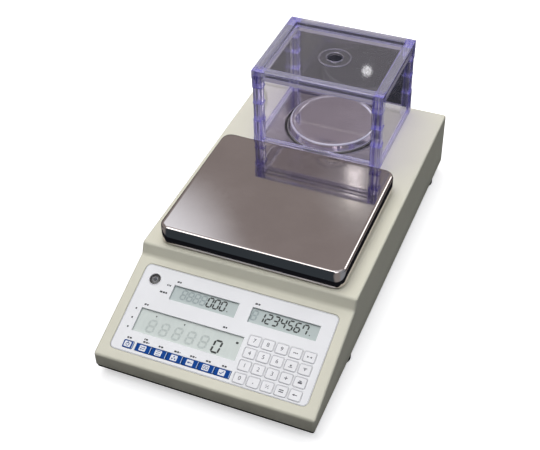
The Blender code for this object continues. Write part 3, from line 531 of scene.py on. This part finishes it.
def to_piece(name, bm, material, body, matrix):
    """Turn a bmesh into a named piece that rides on a body."""
    bmesh.ops.transform(bm, matrix=matrix, verts=bm.verts)
    bmesh.ops.recalc_face_normals(bm, faces=bm.faces)
    mesh = bpy.data.meshes.new(name)
    bm.to_mesh(mesh)
    bm.free()
    mesh.materials.append(material)
    mesh.shade_smooth()
    mesh.set_sharp_from_angle(angle=SHARP_ANGLE)
    piece = bpy.data.objects.new(name, mesh)
    bpy.context.scene.collection.objects.link(piece)
    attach(piece, body)


def slot_piece(name, bm, slot, body, matrix):
    """A piece with the finish of one of the record's material slots."""
    to_piece(name, bm, MATERIALS[slot], body, matrix)


def rounded_rectangle(x, y, width, height, radius, steps=4):
    """Outline of a rounded rectangle about (x, y)."""
    outline = []
    for quarter in range(4):
        turn = quarter * math.pi / 2
        sign_x = 1 if quarter in (0, 3) else -1
        sign_y = 1 if quarter in (0, 1) else -1
        centre_x = x + sign_x * (width / 2 - radius)
        centre_y = y + sign_y * (height / 2 - radius)
        for step in range(steps + 1):
            angle = turn + step / steps * math.pi / 2
            outline.append((centre_x + radius * math.cos(angle), centre_y + radius * math.sin(angle)))
    return outline


def disc(x, y, radius, steps=28):
    """Outline of a disc about (x, y)."""
    return [
        (x + radius * math.cos(2 * math.pi * k / steps), y + radius * math.sin(2 * math.pi * k / steps))
        for k in range(steps)
    ]


def stroke(x0, y0, x1, y1, width):
    """Outline of a straight stroke between two points."""
    length = math.hypot(x1 - x0, y1 - y0)
    side_x = -(y1 - y0) / length * width / 2
    side_y = (x1 - x0) / length * width / 2
    return [
        (x0 + side_x, y0 + side_y), (x0 - side_x, y0 - side_y),
        (x1 - side_x, y1 - side_y), (x1 + side_x, y1 + side_y),
    ]


def triangle(x, y, size):
    """A triangle that points down."""
    return [(x - size / 2, y + size / 2), (x + size / 2, y + size / 2), (x, y - size / 2)]


def triangle_right(x, y, size):
    return [(x + size / 2, y), (x - size / 2, y + size / 2), (x - size / 2, y - size / 2)]


def triangle_left(x, y, size):
    return [(x - size / 2, y), (x + size / 2, y - size / 2), (x + size / 2, y + size / 2)]


def add_patch(bm, outline, height):
    bm.faces.new([bm.verts.new((x, y, height)) for x, y in outline])


def add_band(bm, outer, inner, height):
    """The flat band between two outlines with the same number of points."""
    outer_verts = [bm.verts.new((x, y, height)) for x, y in outer]
    inner_verts = [bm.verts.new((x, y, height)) for x, y in inner]
    count = len(outer)
    for k in range(count):
        after = (k + 1) % count
        bm.faces.new((outer_verts[k], outer_verts[after], inner_verts[after], inner_verts[k]))


def thicken(bm, thickness):
    made = bmesh.ops.extrude_face_region(bm, geom=list(bm.faces))
    moved = [v for v in made["geom"] if isinstance(v, bmesh.types.BMVert)]
    bmesh.ops.translate(bm, vec=(0, 0, thickness), verts=moved)


def print_shapes(name, patches, bands, ink, body, outward):
    """Thin raised print on the panel, made of filled outlines and bands between outlines."""
    bm = bmesh.new()
    for outline in patches:
        add_patch(bm, outline, outward + PRINT_LIFT)
    for outer, inner in bands:
        add_band(bm, outer, inner, outward + PRINT_LIFT)
    thicken(bm, PRINT_THICKNESS)
    to_piece(name, bm, INK[ink], body, PANEL)


def print_text(name, text, size, x, up, ink, body, outward):
    """A printed figure in the built-in font."""
    curve = bpy.data.curves.new(name, "FONT")
    curve.body = text
    curve.size = size
    curve.align_x = "CENTER"
    curve.align_y = "CENTER"
    curve.extrude = PRINT_THICKNESS / 2
    source = bpy.data.objects.new(name, curve)
    bpy.context.scene.collection.objects.link(source)
    bpy.context.view_layer.update()
    mesh = bpy.data.meshes.new_from_object(source)
    bpy.data.objects.remove(source)
    bm = bmesh.new()
    bm.from_mesh(mesh)
    bpy.data.meshes.remove(mesh)
    bmesh.ops.remove_doubles(bm, verts=bm.verts, dist=WELD_DISTANCE)
    place = Matrix.Translation((x, up, outward + PRINT_LIFT + PRINT_THICKNESS / 2))
    to_piece(name, bm, INK[ink], body, PANEL @ place)


def turned_ring(radius, profile, steps=64):
    """A closed (radius offset, height) profile swept round the Z axis."""
    bm = bmesh.new()
    loops = []
    for k in range(steps):
        angle = 2 * math.pi * k / steps
        loops.append([
            bm.verts.new(((radius + dr) * math.cos(angle), (radius + dr) * math.sin(angle), dz))
            for dr, dz in profile
        ])
    for first, second in zip(loops, loops[1:] + loops[:1]):
        for k in range(len(profile)):
            after = (k + 1) % len(profile)
            bm.faces.new((first[k], first[after], second[after], second[k]))
    return bm


def round_profile(radius):
    return disc(0, 0, radius, 10)


def in_millimetres(*points):
    return [(x * MM, y * MM) for x, y in points]


def screw_head(radius, height, recess):
    """A tapered screw head with a round recess, standing on Z = 0."""
    bm = bmesh.new()
    tip = 0.72 * radius
    bmesh.ops.create_cone(bm, cap_ends=True, segments=28, radius1=radius, radius2=tip, depth=height)
    bmesh.ops.translate(bm, vec=(0, 0, height / 2), verts=bm.verts)
    top = max(bm.faces, key=lambda face: face.calc_center_median().z)
    bmesh.ops.inset_region(bm, faces=[top], thickness=0.25 * radius)
    bmesh.ops.translate(bm, vec=(0, 0, -recess), verts=top.verts)
    return bm


# ---------------------------------------------------------------- displays


def segment_outline(letter, width, height, thick):
    """One of the seven segments, named a to g as usual, as a pointed bar."""
    gap = 0.12 * thick
    half = thick / 2
    middle = height / 2
    lines = {
        "a": (0, height, width, height),
        "g": (0, middle, width, middle),
        "d": (0, 0, width, 0),
        "f": (0, middle, 0, height),
        "b": (width, middle, width, height),
        "e": (0, 0, 0, middle),
        "c": (width, 0, width, middle),
    }
    x0, y0, x1, y1 = lines[letter]
    if y0 == y1:
        return [
            (x0 + gap, y0), (x0 + half + gap, y0 - half), (x1 - half - gap, y0 - half),
            (x1 - gap, y0), (x1 - half - gap, y0 + half), (x0 + half + gap, y0 + half),
        ]
    return [
        (x0, y0 + gap), (x0 + half, y0 + half + gap), (x0 + half, y1 - half - gap),
        (x0, y1 - gap), (x0 - half, y1 - half - gap), (x0 - half, y0 + half + gap),
    ]


LIT = {  # the segments that make each figure
    "0": "abcdef", "1": "bc", "2": "abged", "3": "abgcd", "4": "fgbc",
    "5": "afgcd", "6": "afgedc", "7": "fabc", "8": "abcdefg",
}


def figure_shapes(figure, x, up, width, height, thick):
    """The lit segments of a figure centred at (x, up)."""
    shapes = []
    for letter in LIT[figure]:
        outline = segment_outline(letter, width, height, thick)
        shapes.append([
            (x - width / 2 + px + SLANT * (py - height / 2), up - height / 2 + py) for px, py in outline
        ])
    return shapes


def row_of_figures(text, first, pitch, up, size):
    """Figures a pitch apart, the first of them centred at (first, up)."""
    shapes = []
    for place, figure in enumerate(text):
        shapes += figure_shapes(figure, first + place * pitch, up, *size)
    return shapes


def dress_display(name, lit, ghosts, marks, ghost_ink="ghost"):
    """Dark lit segments, faint unlit ones and small marks on a display's glass."""
    face = panel_box(name)[1].z
    body = BODY_OF[name]
    print_shapes(f"{name}_figures", lit + marks, [], "segment", body, face)
    print_shapes(f"{name}_unlit", ghosts, [], ghost_ink, body, face)


def dress_unit_weight_display():
    low, high = panel_box("unit_weight_display")
    right = high.x - GLASS_BORDER
    middle = (low.y + high.y) / 2
    row = middle + 1 * MM
    pitch = 6.5 * MM
    first = right - 27 * MM
    lit = row_of_figures("000", first, pitch, row, SMALL_FIGURE)
    unlit = row_of_figures("8888", first - 4 * pitch, pitch, row, SMALL_FIGURE)
    dot = disc(right - 8.8 * MM, middle - 3 * MM, SMALL_DOT)
    dress_display("unit_weight_display", lit, unlit, [dot], "deep_ghost")


def dress_count_display():
    low, high = panel_box("count_display")
    left = low.x + GLASS_BORDER
    middle = (low.y + high.y) / 2
    row = middle + 0.8 * MM
    pitch = 6.85 * MM
    first = left + 10.6 * MM
    lit = row_of_figures("1234567", first, pitch, row, SMALL_FIGURE)
    unlit = row_of_figures("8", first - pitch, pitch, row, SMALL_FIGURE)
    dot = disc(left + 57.2 * MM, middle - 3.2 * MM, SMALL_DOT)
    dress_display("count_display", lit, unlit, [dot], "deep_ghost")


def dress_weight_display():
    low, high = panel_box("weight_display")
    right = high.x - GLASS_BORDER
    top = high.y - GLASS_BORDER
    middle = (low.y + high.y) / 2
    pitch = 12.9 * MM
    last = right - 21 * MM
    lit = row_of_figures("0", last, pitch, middle - 3.4 * MM, LARGE_FIGURE)
    unlit = row_of_figures("88888", last - 5 * pitch, pitch, middle - 2.6 * MM, LARGE_FIGURE)
    marks = [triangle(right - inset, top - 4.4 * MM, 1.7 * MM) for inset in (84.9 * MM, 56.8 * MM)]
    marks.append(rounded_rectangle(right - 4.6 * MM, top - 6.4 * MM, 2.6 * MM, 2.0 * MM, 0.8 * MM))
    dress_display("weight_display", lit, unlit, marks)


# ---------------------------------------------------------------- key prints


def key_face(name):
    """Middle of a key's face and its size: across, uphill, outward, width, height."""
    low, high = panel_box(name)
    return (low.x + high.x) / 2, (low.y + high.y) / 2, high.z, high.x - low.x, high.y - low.y


# Pictograms about the origin, in units of about a millimetre: (filled outlines, bands between outlines)
ICONS = {
    "power_key": ([stroke(0, 0.3, 0, 2.1, 0.5)], [(disc(0, 0, 1.5), disc(0, 0, 1.05))]),
    "units_key": (
        [stroke(-1.8, y, 1.8, y, 0.45) for y in (-0.8, 0.8)]
        + [triangle_right(1.6, 0.8, 1.3), triangle_left(-1.6, -0.8, 1.3)],
        [],
    ),
    "limits_key": ([stroke(-1.8, y, 1.8, y, 0.4) for y in (-1.5, 0, 1.5)], []),
    "sample_key": ([disc(x, y, 0.62, 16) for x, y in ((-1.2, -0.8), (0, 1.0), (1.2, -0.8))], []),
    "recall_key": ([triangle_left(-1.4, 0, 1.8), stroke(-1.0, 0, 1.9, 0, 0.6)], []),
    "section_key": (
        [],
        [
            (rounded_rectangle(x, 0, 1.8, 3.0, 0.3), rounded_rectangle(x, 0, 1.0, 2.2, 0.15))
            for x in (-1.15, 1.15)
        ],
    ),
    "set_key": ([stroke(-1.6, -0.1, -0.5, -1.2, 0.6), stroke(-0.7, -1.2, 1.7, 1.3, 0.6)], []),
    "key_point": ([disc(0, -0.9, 0.5, 16)], []),
    "key_clear": (
        [stroke(-1.4, -1.4, 1.4, 1.4, 0.45), disc(-1.3, 1.1, 0.45, 14), disc(1.3, -1.1, 0.45, 14)],
        [],
    ),
    "key_memory": ([rounded_rectangle(0, y, 4.4, 0.9, 0.2) for y in (0.9, -0.9)], []),
    "key_enter": ([stroke(-1.8, 0, 1.8, 0, 0.7), triangle_left(-1.9, 0, 2.2)], []),
    "key_add": ([stroke(-1.6, 0, 1.6, 0, 0.7), stroke(0, -1.6, 0, 1.6, 0.7)], []),
    "key_print": ([rounded_rectangle(0, -0.5, 4.0, 1.7, 0.3), stroke(-1.2, 1.2, 1.2, 1.2, 0.9)], []),
    "key_unit_weight": ([disc(0, 0, 0.9, 20), stroke(-1.9, -1.7, 1.9, -1.7, 0.6)], []),
    "key_tare": ([stroke(-1.9, 1.2, 1.9, 1.2, 0.6), triangle(0, -0.5, 2.0)], []),
    "key_sample": ([disc(x, 0, 0.62, 16) for x in (-1.6, 0, 1.6)], []),
    "key_zero": ([triangle_right(-1.3, 0, 2.0), triangle_left(1.3, 0, 2.0)], []),
}


def placed(outline, x, up, unit):
    """A pictogram's outline, brought to its place and size on the panel."""
    return [(x + px * unit, up + py * unit) for px, py in outline]


def print_icon(key, x, up, unit, ink, face):
    patches, bands = ICONS[key]
    patches = [placed(outline, x, up, unit) for outline in patches]
    bands = [[placed(outline, x, up, unit) for outline in band] for band in bands]
    print_shapes(f"{key}_icon", patches, bands, ink, BODY_OF[key], face)


def dress_blue_keys():
    """A white field with a blue pictogram, and a pale separator to the right of them."""
    for name in BLUE_KEYS:
        x, up, face, width, height = key_face(name)
        body = BODY_OF[name]
        middle = x - 0.6 * MM
        field = rounded_rectangle(middle, up, 6.4 * MM, 0.74 * height, 0.7 * MM)
        print_shapes(f"{name}_field", [field], [], "white", body, face)
        print_icon(name, middle, up, BLUE_ICON_UNIT, "blue", face + PRINT_THICKNESS)
        edge = x + width / 2 - 0.5 * MM
        stripe = rounded_rectangle(edge, up, 0.6 * MM, 0.9 * height, 0.2 * MM, 2)
        print_shapes(f"{name}_stripe", [stripe], [], "pale_blue", body, face)


def dress_white_keys():
    """Printed outlines with figures on the digit keys and pictograms on the others."""
    inset = 0.35 * MM
    line = 0.32 * MM
    for name in DIGIT_KEYS + PLAIN_KEYS + LABEL_KEYS:
        x, up, face, width, height = key_face(name)
        body = BODY_OF[name]
        wide = width - 2 * inset
        tall = height - 2 * inset
        outer = rounded_rectangle(x, up, wide, tall, 1.1 * MM)
        inner = rounded_rectangle(x, up, wide - 2 * line, tall - 2 * line, 0.9 * MM)
        print_shapes(f"{name}_outline", [], [(outer, inner)], "outline", body, face)
        if name in DIGIT_KEYS:
            print_text(f"{name}_figure", name[-1], 5.4 * MM, x, up, "grey", body, face)
        else:
            print_icon(name, x, up, WHITE_ICON_UNIT, "grey", face)


# ---------------------------------------------------------------- overlay prints


def caption_bars(x, up, widths):
    """A row of short bars, with widths in millimetres, that stands for a printed caption."""
    height = 1.6 * MM
    gap = 0.5 * MM
    corner = 0.25 * MM
    shapes = []
    for width in widths:
        shapes.append(rounded_rectangle(x + width * MM / 2, up, width * MM, height, corner, 2))
        x += width * MM + gap
    return shapes


def display_captions():
    """Bars at each display's upper left corner, a unit mark and row marks."""
    captions = []
    for name, widths in (
        ("weight_display", (2.0, 1.6)),
        ("unit_weight_display", (2.2, 1.4)),
        ("count_display", (2.4, 1.8)),
    ):
        low, high = panel_box(name)
        captions += caption_bars(low.x + 3 * MM, high.y + 1.6 * MM, widths)
    low, high = panel_box("unit_weight_display")
    captions += caption_bars(low.x - 5 * MM, high.y - 4 * MM, (1.0, 0.7, 1.2))
    captions += caption_bars(low.x - 9 * MM, low.y + 7 * MM, (2.6, 2.0, 1.6))
    low, high = panel_box("weight_display")
    captions += caption_bars(high.x - 24 * MM, high.y + 1.6 * MM, (2.0, 1.4))
    middle = (low.y + high.y) / 2
    for step in (-1, 0, 1):
        captions += caption_bars(low.x - 3.4 * MM, middle + step * 9.4 * MM, (1.4,))
    return captions


def key_captions():
    """Bars above each blue key, some with a dot."""
    captions = []
    for place, name in enumerate(BLUE_KEYS):
        low, high = panel_box(name)
        start = low.x + (1.2 * MM if name == "power_key" else 4.7 * MM)
        height = high.y + 2.6 * MM
        captions += caption_bars(start, height, (2.2, 1.8) if place % 2 else (1.8, 2.0))
        if name in ("units_key", "sample_key", "recall_key"):
            captions.append(disc(start + 5.5 * MM, height, SMALL_DOT, 14))
        if name == "units_key":
            captions += caption_bars(start, height + 2.6 * MM, (1.0, 1.8))
    return captions


def dress_overlay():
    """A border line, and bars that stand for the captions."""
    body = BODY_OF["control_panel"]
    low, high = panel_box("control_panel")
    middle = ((low.x + high.x) / 2, (low.y + high.y) / 2)
    width = high.x - low.x - 1.2 * MM
    height = high.y - low.y - 1.2 * MM
    line = 0.35 * MM
    outer = rounded_rectangle(*middle, width, height, 4.4 * MM, 8)
    inner = rounded_rectangle(*middle, width - 2 * line, height - 2 * line, 4.4 * MM - line, 8)
    print_shapes("overlay_border", [], [(outer, inner)], "outline", body, high.z)
    captions = display_captions() + key_captions()
    print_shapes("overlay_captions", captions, [], "dark", body, high.z)


# ---------------------------------------------------------------- spirit level


def dress_spirit_level():
    """A bezel round the vial, its centre ring and the bubble."""
    low, high = panel_box("spirit_level")
    middle = PANEL @ Matrix.Translation(((low.x + high.x) / 2, (low.y + high.y) / 2, 0))
    radius = (high.x - low.x) / 2
    body = BODY_OF["spirit_level"]
    profile = in_millimetres((-0.4, 0.02), (-0.3, 0.5), (0.2, 0.5), (0.5, 0.02))
    bezel = turned_ring(radius + 0.75 * MM, profile)
    to_piece("level_bezel", bezel, MATERIALS["white_key"], body, middle)
    profile = in_millimetres((-0.15, 0), (-0.15, 0.05), (0.15, 0.05), (0.15, 0))
    mark = turned_ring(0.46 * radius, profile)
    lifted = middle @ Matrix.Translation((0, 0, high.z + PRINT_LIFT))
    to_piece("level_ring_mark", mark, INK["outline"], body, lifted)
    bubble = bmesh.new()
    bmesh.ops.create_uvsphere(bubble, u_segments=24, v_segments=12, radius=0.3 * radius)
    bmesh.ops.scale(bubble, vec=(1, 1, 0.16), verts=bubble.verts)
    offset = middle @ Matrix.Translation((0.12 * radius, 0.1 * radius, high.z + 0.26 * MM))
    to_piece("level_bubble", bubble, INK["grey"], body, offset)


# ---------------------------------------------------------------- draft shield


def dress_lid():
    """A rounded lip round the finger hole and a shallow raised ring outside it."""
    low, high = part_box("shield_lid")
    top = Matrix.Translation(((low.x + high.x) / 2, (low.y + high.y) / 2, high.z))
    lip_radius = 0.45 * MM
    lip = turned_ring(LID_HOLE_RADIUS + 0.55 * MM, round_profile(lip_radius), 72)
    lifted = top @ Matrix.Translation((0, 0, lip_radius))
    slot_piece("lid_hole_lip", lip, "clear_acrylic", "shield_lid", lifted)
    profile = in_millimetres((-0.9, 0.02), (-0.5, 0.45), (0.5, 0.45), (0.9, 0.02))
    raised = turned_ring(2 * LID_HOLE_RADIUS, profile, 72)
    slot_piece("lid_raised_ring", raised, "clear_acrylic", "shield_lid", top)


def dress_plate_opening():
    """A black ring that paints the shadow in the gap under the pan, and a bright bead, round the floor plate's
    opening.
    """
    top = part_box("shield_floor_plate")[1].z
    low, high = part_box("small_pan")
    radius = (high.x - low.x) / 2
    place = Matrix.Translation((0, (low.y + high.y) / 2, top))
    profile = in_millimetres((0.9, 0), (1.0, 0.3), (3.0, 0.3), (3.2, 0))
    # Painted shadow: a black ring lies on the plate where the pan's shade falls round the opening.
    slot_piece("painted_shadow_ring", turned_ring(radius, profile, 96), "black_rubber", "casing", place)
    bead = turned_ring(radius + 3.8 * MM, round_profile(0.45 * MM), 96)
    lifted = place @ Matrix.Translation((0, 0, 0.3 * MM))
    to_piece("plate_bead", bead, STEEL["shield_floor_plate"], "casing", lifted)


def post_collar(side, height):
    """A square collar with rounded corners and a chamfered rim, standing on Z = 0."""
    bm = bmesh.new()
    add_patch(bm, rounded_rectangle(0, 0, side, side, 1.4 * MM, 3), 0)
    thicken(bm, height)
    rims = [e for e in bm.edges if abs(e.verts[0].co.z - e.verts[1].co.z) < 0.01 * MM]
    bmesh.ops.bevel(bm, geom=rims, offset=0.25 * MM, segments=2, profile=0.5, affect="EDGES")
    return bm


def dress_posts():
    """Collars where the corner posts enter their sockets and caps, and half way up."""
    low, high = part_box("shield_base_frame")
    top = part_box("shield_top_frame")[0].z
    socket = low.z + SOCKET_HEIGHT
    inset = POST_SIDE / 2
    levels = (("socket", socket), ("middle", (socket + top) / 2), ("cap", top - 1.4 * MM))
    for row, y in (("front", low.y + inset), ("rear", high.y - inset)):
        for column, x in (("left", low.x + inset), ("right", high.x - inset)):
            for level, z in levels:
                collar = post_collar(POST_SIDE, COLLAR_HEIGHT)
                name = f"post_collar_{row}_{column}_{level}"
                slot_piece(name, collar, "violet_acrylic", "draft_shield", Matrix.Translation((x, y, z)))


# ---------------------------------------------------------------- back and underside


LYING = Matrix.Rotation(math.pi / 2, 4, "X")  # turns a cone's axis to lie along Y


def add_pin(bm, segments, radius, tip, length):
    """A round pin along Y, whose ends have the two radii."""
    return bmesh.ops.create_cone(
        bm, cap_ends=True, segments=segments, radius1=radius, radius2=tip, depth=length, matrix=LYING
    )["verts"]


def dress_power_inlet():
    """The inlet's centre pin."""
    low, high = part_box("power_inlet")
    pin = bmesh.new()
    add_pin(pin, 20, 0.55 * MM, 0.9 * MM, 7 * MM)
    place = Matrix.Translation(((low.x + high.x) / 2, high.y - 5.6 * MM, (low.z + high.z) / 2))
    slot_piece("inlet_pin", pin, "zinc_steel", BODY_OF["power_inlet"], place)


def dress_data_port():
    """The port's tongue, with two rows of contacts."""
    low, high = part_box("data_port")
    x = (low.x + high.x) / 2
    z = (low.z + high.z) / 2
    body = BODY_OF["data_port"]
    tongue = bmesh.new()
    bmesh.ops.create_cube(tongue, size=1)
    bmesh.ops.scale(tongue, vec=(11 * MM, 7 * MM, 2.4 * MM), verts=tongue.verts)
    edges = list(tongue.edges)
    bmesh.ops.bevel(tongue, geom=edges, offset=0.4 * MM, segments=2, profile=0.5, affect="EDGES")
    place = Matrix.Translation((x, high.y - 6.4 * MM, z))
    slot_piece("port_tongue", tongue, "black_plastic", body, place)
    pins = bmesh.new()
    for row, count in ((0.62 * MM, 5), (-0.62 * MM, 4)):
        for k in range(count):
            pin = add_pin(pins, 12, 0.35 * MM, 0.35 * MM, 1.2 * MM)
            across = (k - (count - 1) / 2) * 2.1 * MM
            bmesh.ops.translate(pins, vec=(across, 0, row), verts=pin)
    place = Matrix.Translation((x, high.y - 2.5 * MM, z))
    slot_piece("port_pins", pins, "zinc_steel", body, place)


def dress_rear_plate():
    """A screw at each end of the rear plate."""
    low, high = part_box("rear_plate")
    facing_back = Matrix.Rotation(-math.pi / 2, 4, "X")
    for side, x in (("left", low.x + 5 * MM), ("right", high.x - 5 * MM)):
        head = screw_head(2.6 * MM, 0.9 * MM, 0.5 * MM)
        place = Matrix.Translation((x, high.y, (low.z + high.z) / 2)) @ facing_back
        slot_piece(f"rear_screw_{side}", head, "zinc_steel", BODY_OF["rear_plate"], place)


def dress_underside():
    """Six screws hold the tray to the cover."""
    low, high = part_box("base_tray")
    facing_down = Matrix.Rotation(math.pi, 4, "X")
    for row, y in (("front", low.y + 14 * MM), ("middle", 20 * MM), ("rear", high.y - 14 * MM)):
        for side, x in (("left", low.x + 12 * MM), ("right", high.x - 12 * MM)):
            head = screw_head(3.2 * MM, 1.3 * MM, 0.7 * MM)
            place = Matrix.Translation((x, y, low.z)) @ facing_down
            slot_piece(f"tray_screw_{row}_{side}", head, "zinc_steel", BODY_OF["base_tray"], place)


# ---------------------------------------------------------------- studio


def direction(azimuth, elevation):
    """Unit vector at an angle left of the back (+Y) and above the horizon, in degrees."""
    turn = math.radians(azimuth)
    rise = math.radians(elevation)
    return Vector((-math.sin(turn) * math.cos(rise), math.cos(turn) * math.cos(rise), math.sin(rise)))


SOFT_BOXES = (
    # direction, inner and outer radius in degrees, colour
    (direction(0, 90), 14, 40, (0.82, 0.82, 0.84)),
    (direction(204, 62), 8, 20, (2.4, 2.4, 2.5)),
    (direction(118, 69), 7, 17, (3.4, 3.4, 3.4)),
    (direction(-100, 22), 20, 55, (0.31, 0.34, 0.38)),
    (direction(35, 44), 2, 7.5, (1.25, 1.32, 1.42)),
    (direction(215, 20), 10, 40, (0.30, 0.285, 0.28)),
    (direction(118, 20), 8, 30, (0.30, 0.285, 0.28)),
    (direction(-36, 33), 6, 14, (3.0, 3.0, 3.0)),
    (direction(15.5, 39.5), 0.8, 4.0, (0.46, 0.45, 0.46)),
    (direction(17.5, 39.0), 0.35, 0.6, (2.2, 2.2, 2.1)),
    (direction(17.5, 40.0), 0.35, 0.6, (2.2, 2.2, 2.1)),
    (direction(17, 33.5), 0.12, 0.34, (4.5, 4.5, 4.5)),
)
BACK_WALL = direction(24, 10)
BACK_TONE = (0.33, 0.296, 0.292)
FRONT_TONE = (0.045, 0.058, 0.07)
PALE = (0.93, 0.93, 0.925)


def make_world():
    """A dim studio with soft boxes; the camera itself sees a pale backdrop."""
    world = bpy.data.worlds.new("studio")
    bpy.context.scene.world = world
    world.use_nodes = True
    tree = world.node_tree
    looking = tree.nodes.new("ShaderNodeTexCoord").outputs["Generated"]

    def lobe(towards, start, end):
        """0 to 1 as the cosine of the angle to a direction goes from start to end."""
        dot = tree.nodes.new("ShaderNodeVectorMath")
        dot.operation = "DOT_PRODUCT"
        dot.inputs[1].default_value = towards
        tree.links.new(looking, dot.inputs[0])
        ramp = tree.nodes.new("ShaderNodeMapRange")
        ramp.interpolation_type = "SMOOTHSTEP"
        ramp.inputs["From Min"].default_value = start
        ramp.inputs["From Max"].default_value = end
        tree.links.new(dot.outputs["Value"], ramp.inputs["Value"])
        return ramp.outputs["Result"]

    def mixed(factor, first, second):
        made = tree.nodes.new("ShaderNodeMix")
        made.data_type = "RGBA"
        for key, value in (("Factor", factor), ("A", first), ("B", second)):
            if isinstance(value, bpy.types.NodeSocket):
                tree.links.new(value, made.inputs[key])
            else:
                made.inputs[key].default_value = (*value, 1)
        return made.outputs["Result"]

    colour = mixed(lobe(BACK_WALL, -0.3, 0.35), FRONT_TONE, BACK_TONE)
    for towards, inner, outer, tone in SOFT_BOXES:
        glow = lobe(towards, math.cos(math.radians(outer)), math.cos(math.radians(inner)))
        colour = mixed(glow, colour, tone)
    seen = tree.nodes.new("ShaderNodeLightPath").outputs["Is Camera Ray"]
    tree.links.new(mixed(seen, colour, PALE), tree.nodes["Background"].inputs["Color"])


def make_floor():
    """A pale floor to the eye that throws little light back up, as a dark studio does."""
    look = Surface("floor_paper")
    grain = look.noise(4 * MM, 3)
    pale = look.mix(look.spread(grain, 0.0, 1.0), (0.90, 0.90, 0.895), (0.92, 0.92, 0.915))
    look.finish(pale, 0.9, look.bump(grain, 0.01 * MM), Specular_IOR_Level=0.0)
    look.feed(look.shader.inputs["Emission Color"], (1, 1, 1, 1))
    look.feed(look.shader.inputs["Emission Strength"], 0.5)
    dark = look.node("ShaderNodeBsdfDiffuse")
    dark.inputs["Color"].default_value = (0.011, 0.012, 0.016, 1)
    seen = look.node("ShaderNodeLightPath").outputs["Is Camera Ray"]
    look.blend_shader(look.math("SUBTRACT", 1.0, seen), dark.outputs[0])
    bm = bmesh.new()
    bmesh.ops.create_grid(bm, x_segments=4, y_segments=4, size=FLOOR_REACH)
    mesh = bpy.data.meshes.new("floor")
    bm.to_mesh(mesh)
    bm.free()
    mesh.materials.append(look.material)
    floor = bpy.data.objects.new("floor", mesh)
    floor.location.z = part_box("foot_pad_front_left")[0].z - 0.05 * MM
    bpy.context.scene.collection.objects.link(floor)


def make_lamp():
    """One large overhead lamp, a little to the left and behind, that no mirror or acrylic shows."""
    lamp = bpy.data.lights.new("overhead", "AREA")
    lamp.shape = "RECTANGLE"
    lamp.size = 1.1
    lamp.size_y = 0.9
    lamp.energy = LAMP_POWER
    thing = bpy.data.objects.new("overhead", lamp)
    thing.location = LAMP_PLACE
    thing.rotation_euler = (-LAMP_PLACE).to_track_quat("-Z", "Y").to_euler()
    thing.visible_glossy = False
    thing.visible_transmission = False
    bpy.context.scene.collection.objects.link(thing)


def make_camera():
    """A camera that looks at its target from the front and right, with a slight roll."""
    back = Vector((
        math.sin(CAMERA_AZIMUTH) * math.cos(CAMERA_ELEVATION),
        -math.cos(CAMERA_AZIMUTH) * math.cos(CAMERA_ELEVATION),
        math.sin(CAMERA_ELEVATION),
    ))
    right = Vector((0, 0, 1)).cross(back).normalized()
    up = back.cross(right)
    turn = Matrix.Rotation(CAMERA_ROLL, 3, back)
    axes = Matrix((turn @ right, turn @ up, back)).transposed()
    camera = bpy.data.cameras.new("camera")
    camera.lens = CAMERA_LENS
    camera.sensor_width = 36
    thing = bpy.data.objects.new("camera", camera)
    thing.matrix_world = Matrix.Translation(CAMERA_TARGET + back * CAMERA_DISTANCE) @ axes.to_4x4()
    bpy.context.scene.collection.objects.link(thing)
    bpy.context.scene.camera = thing


def build():
    bpy.context.scene.view_settings.view_transform = "Standard"
    dress_frame()
    dress_unit_weight_display()
    dress_count_display()
    dress_weight_display()
    dress_blue_keys()
    dress_white_keys()
    dress_overlay()
    dress_spirit_level()
    dress_lid()
    dress_plate_opening()
    dress_posts()
    dress_power_inlet()
    dress_data_port()
    dress_rear_plate()
    dress_underside()
    make_world()
    make_floor()
    make_lamp()
    make_camera()


build()
